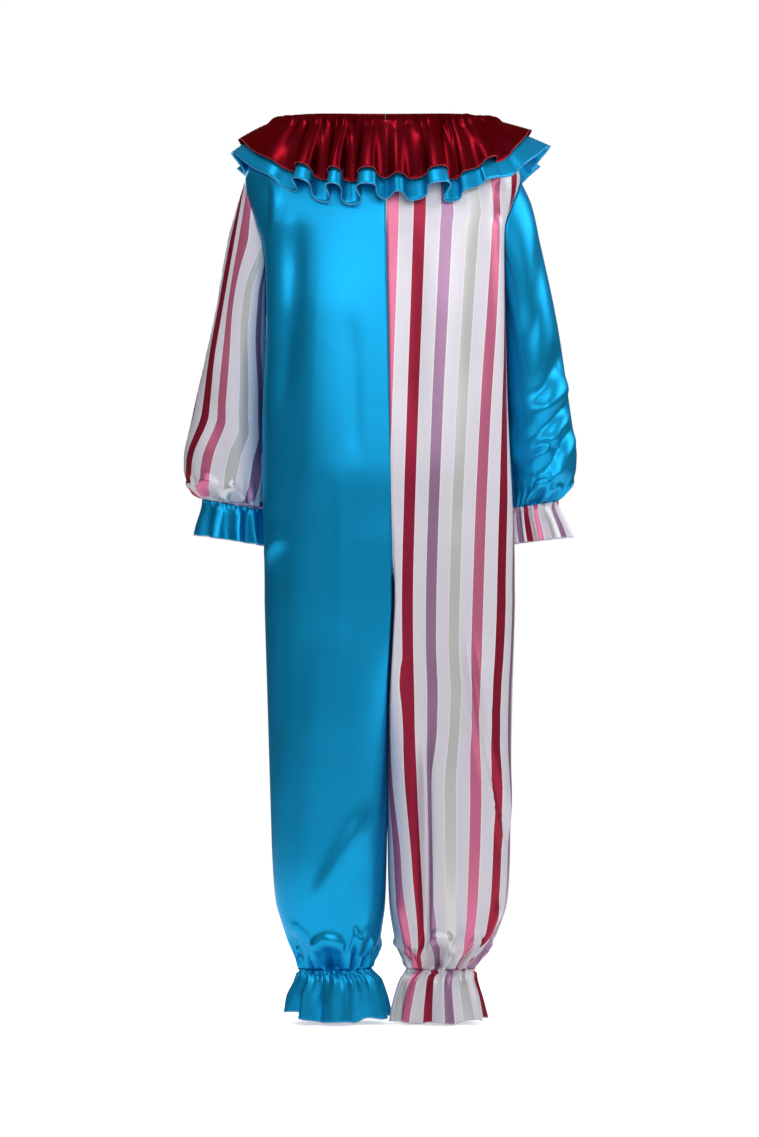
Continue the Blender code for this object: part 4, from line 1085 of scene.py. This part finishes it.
class JUMPSUIT_OT_collar(bpy.types.Operator):
    """Makes the neck casing and the collar's two ruffles, open at the centre back"""

    bl_idname = "jumpsuit.collar"
    bl_label = "Collar"

    def execute(self, context):
        sizes = context.scene.jumpsuit_sizes
        points, height = casing_grid()
        across = along_rows(points)
        piece = cloth("neck_casing_cloth", points, across, height, False, sizes.casing, "satin_burgundy")
        declared(piece, "neck_casing", points)
        looks = {"top": ("satin_burgundy", "edge_red"), "under": ("satin_blue", "edge_blue")}
        for layer, look in looks.items():
            names, node = f"collar_{layer}_{{}}", f"collar_{layer}_ruffle"
            points = collar_grid(layer)
            ruffle(names, node, points, -down_columns(points), False, sizes, *look, "neck_casing_cloth")
        return {"FINISHED"}


def make_floor():
    bpy.ops.object.select_all(action="DESELECT")
    bpy.ops.mesh.primitive_circle_add(
        vertices=96, radius=FLOOR_RADIUS, fill_type="NGON", location=(0, 0, FLOOR)
    )
    floor = bpy.context.object
    floor.name = "studio_floor"
    glow = {"Emission Color": (1, 1, 1, 1), "Emission Strength": 0.55}
    floor.data.materials.append(plain("studio_white", (0.93, 0.93, 0.93), 0.9, glow))
    floor.visible_diffuse = False


def make_world(scene):
    """White all round for the camera, and a soft light from above and from the floor for the rest."""
    scene.world = bpy.data.worlds.new("studio")
    scene.world.use_nodes = True
    tree = scene.world.node_tree
    way = add(tree, "TexCoord").outputs["Generated"]
    height = add(tree, "SeparateXYZ", {"Vector": way}).outputs["Z"]
    sky, ground = (
        output(tree, "MapRange", {"Value": height, **span}, interpolation_type="SMOOTHSTEP")
        for span in (SKY, GROUND)
    )
    seen = add(tree, "LightPath").outputs["Is Camera Ray"]
    strength = maths(tree, "MAXIMUM", maths(tree, "MAXIMUM", sky, ground), seen)
    fill(tree, tree.nodes["Background"], {"Color": (1, 1, 1, 1), "Strength": strength})
    scene.view_settings.view_transform = "Standard"


def make_lights():
    for lamp in LAMPS:
        bpy.ops.object.light_add(type="AREA", location=(lamp.x, lamp.y, lamp.z))
        light = bpy.context.object
        light.name = "studio_" + lamp.name
        light.data.shape = "RECTANGLE"
        light.data.size, light.data.size_y = lamp.width, lamp.height
        light.data.energy = lamp.power
        light.visible_camera = False
        level = math.hypot(lamp.x, lamp.y)
        light.rotation_euler = (math.atan2(level, lamp.z - lamp.aim), 0, math.atan2(lamp.x, -lamp.y))


def make_camera(scene, distance):
    """A camera level with the suit's middle, behind it."""
    bpy.ops.object.camera_add(location=(CAMERA_X, -distance, CAMERA_Z), rotation=(math.pi / 2, 0, 0))
    camera = bpy.context.object
    camera.name = "studio_camera"
    camera.data.sensor_width = SENSOR
    camera.data.lens = SENSOR * (distance + VIEW_Y) / VIEW_WIDTH
    scene.camera = camera


class JUMPSUIT_OT_stage(bpy.types.Operator):
    """Makes the floor, the lights and the camera"""

    bl_idname = "jumpsuit.stage"
    bl_label = "Stage"

    def execute(self, context):
        make_floor()
        make_world(context.scene)
        make_lights()
        make_camera(context.scene, context.scene.jumpsuit_sizes.camera)
        return {"FINISHED"}


class JUMPSUIT_PT_panel(bpy.types.Panel):
    """Sizes, colours and steps of the jumpsuit"""

    bl_label = "Jumpsuit"
    bl_idname = "JUMPSUIT_PT_panel"
    bl_space_type = "VIEW_3D"
    bl_region_type = "UI"
    bl_category = "Jumpsuit"

    def draw(self, context):
        for group in (context.scene.jumpsuit_sizes, context.scene.jumpsuit_colours):
            for key in type(group).__annotations__:
                self.layout.prop(group, key)
        for step in STEPS:
            self.layout.operator(step.bl_idname)


STEPS = (
    JUMPSUIT_OT_materials,
    JUMPSUIT_OT_body,
    JUMPSUIT_OT_sleeves,
    JUMPSUIT_OT_ruffles,
    JUMPSUIT_OT_collar,
    JUMPSUIT_OT_stage,
)
CLASSES = (JumpsuitColours, JumpsuitSizes, *STEPS, JUMPSUIT_PT_panel)


def register():
    for kind in CLASSES:
        bpy.utils.register_class(kind)
    bpy.types.Scene.jumpsuit_colours = bpy.props.PointerProperty(type=JumpsuitColours)
    bpy.types.Scene.jumpsuit_sizes = bpy.props.PointerProperty(type=JumpsuitSizes)


def unregister():
    del bpy.types.Scene.jumpsuit_sizes
    del bpy.types.Scene.jumpsuit_colours
    for kind in reversed(CLASSES):
        bpy.utils.unregister_class(kind)


def main():
    register()
    bpy.ops.jumpsuit.materials()
    bpy.ops.jumpsuit.body()
    bpy.ops.jumpsuit.sleeves()
    bpy.ops.jumpsuit.ruffles()
    bpy.ops.jumpsuit.collar()
    bpy.ops.jumpsuit.stage()


if __name__ == "__main__":
    main()
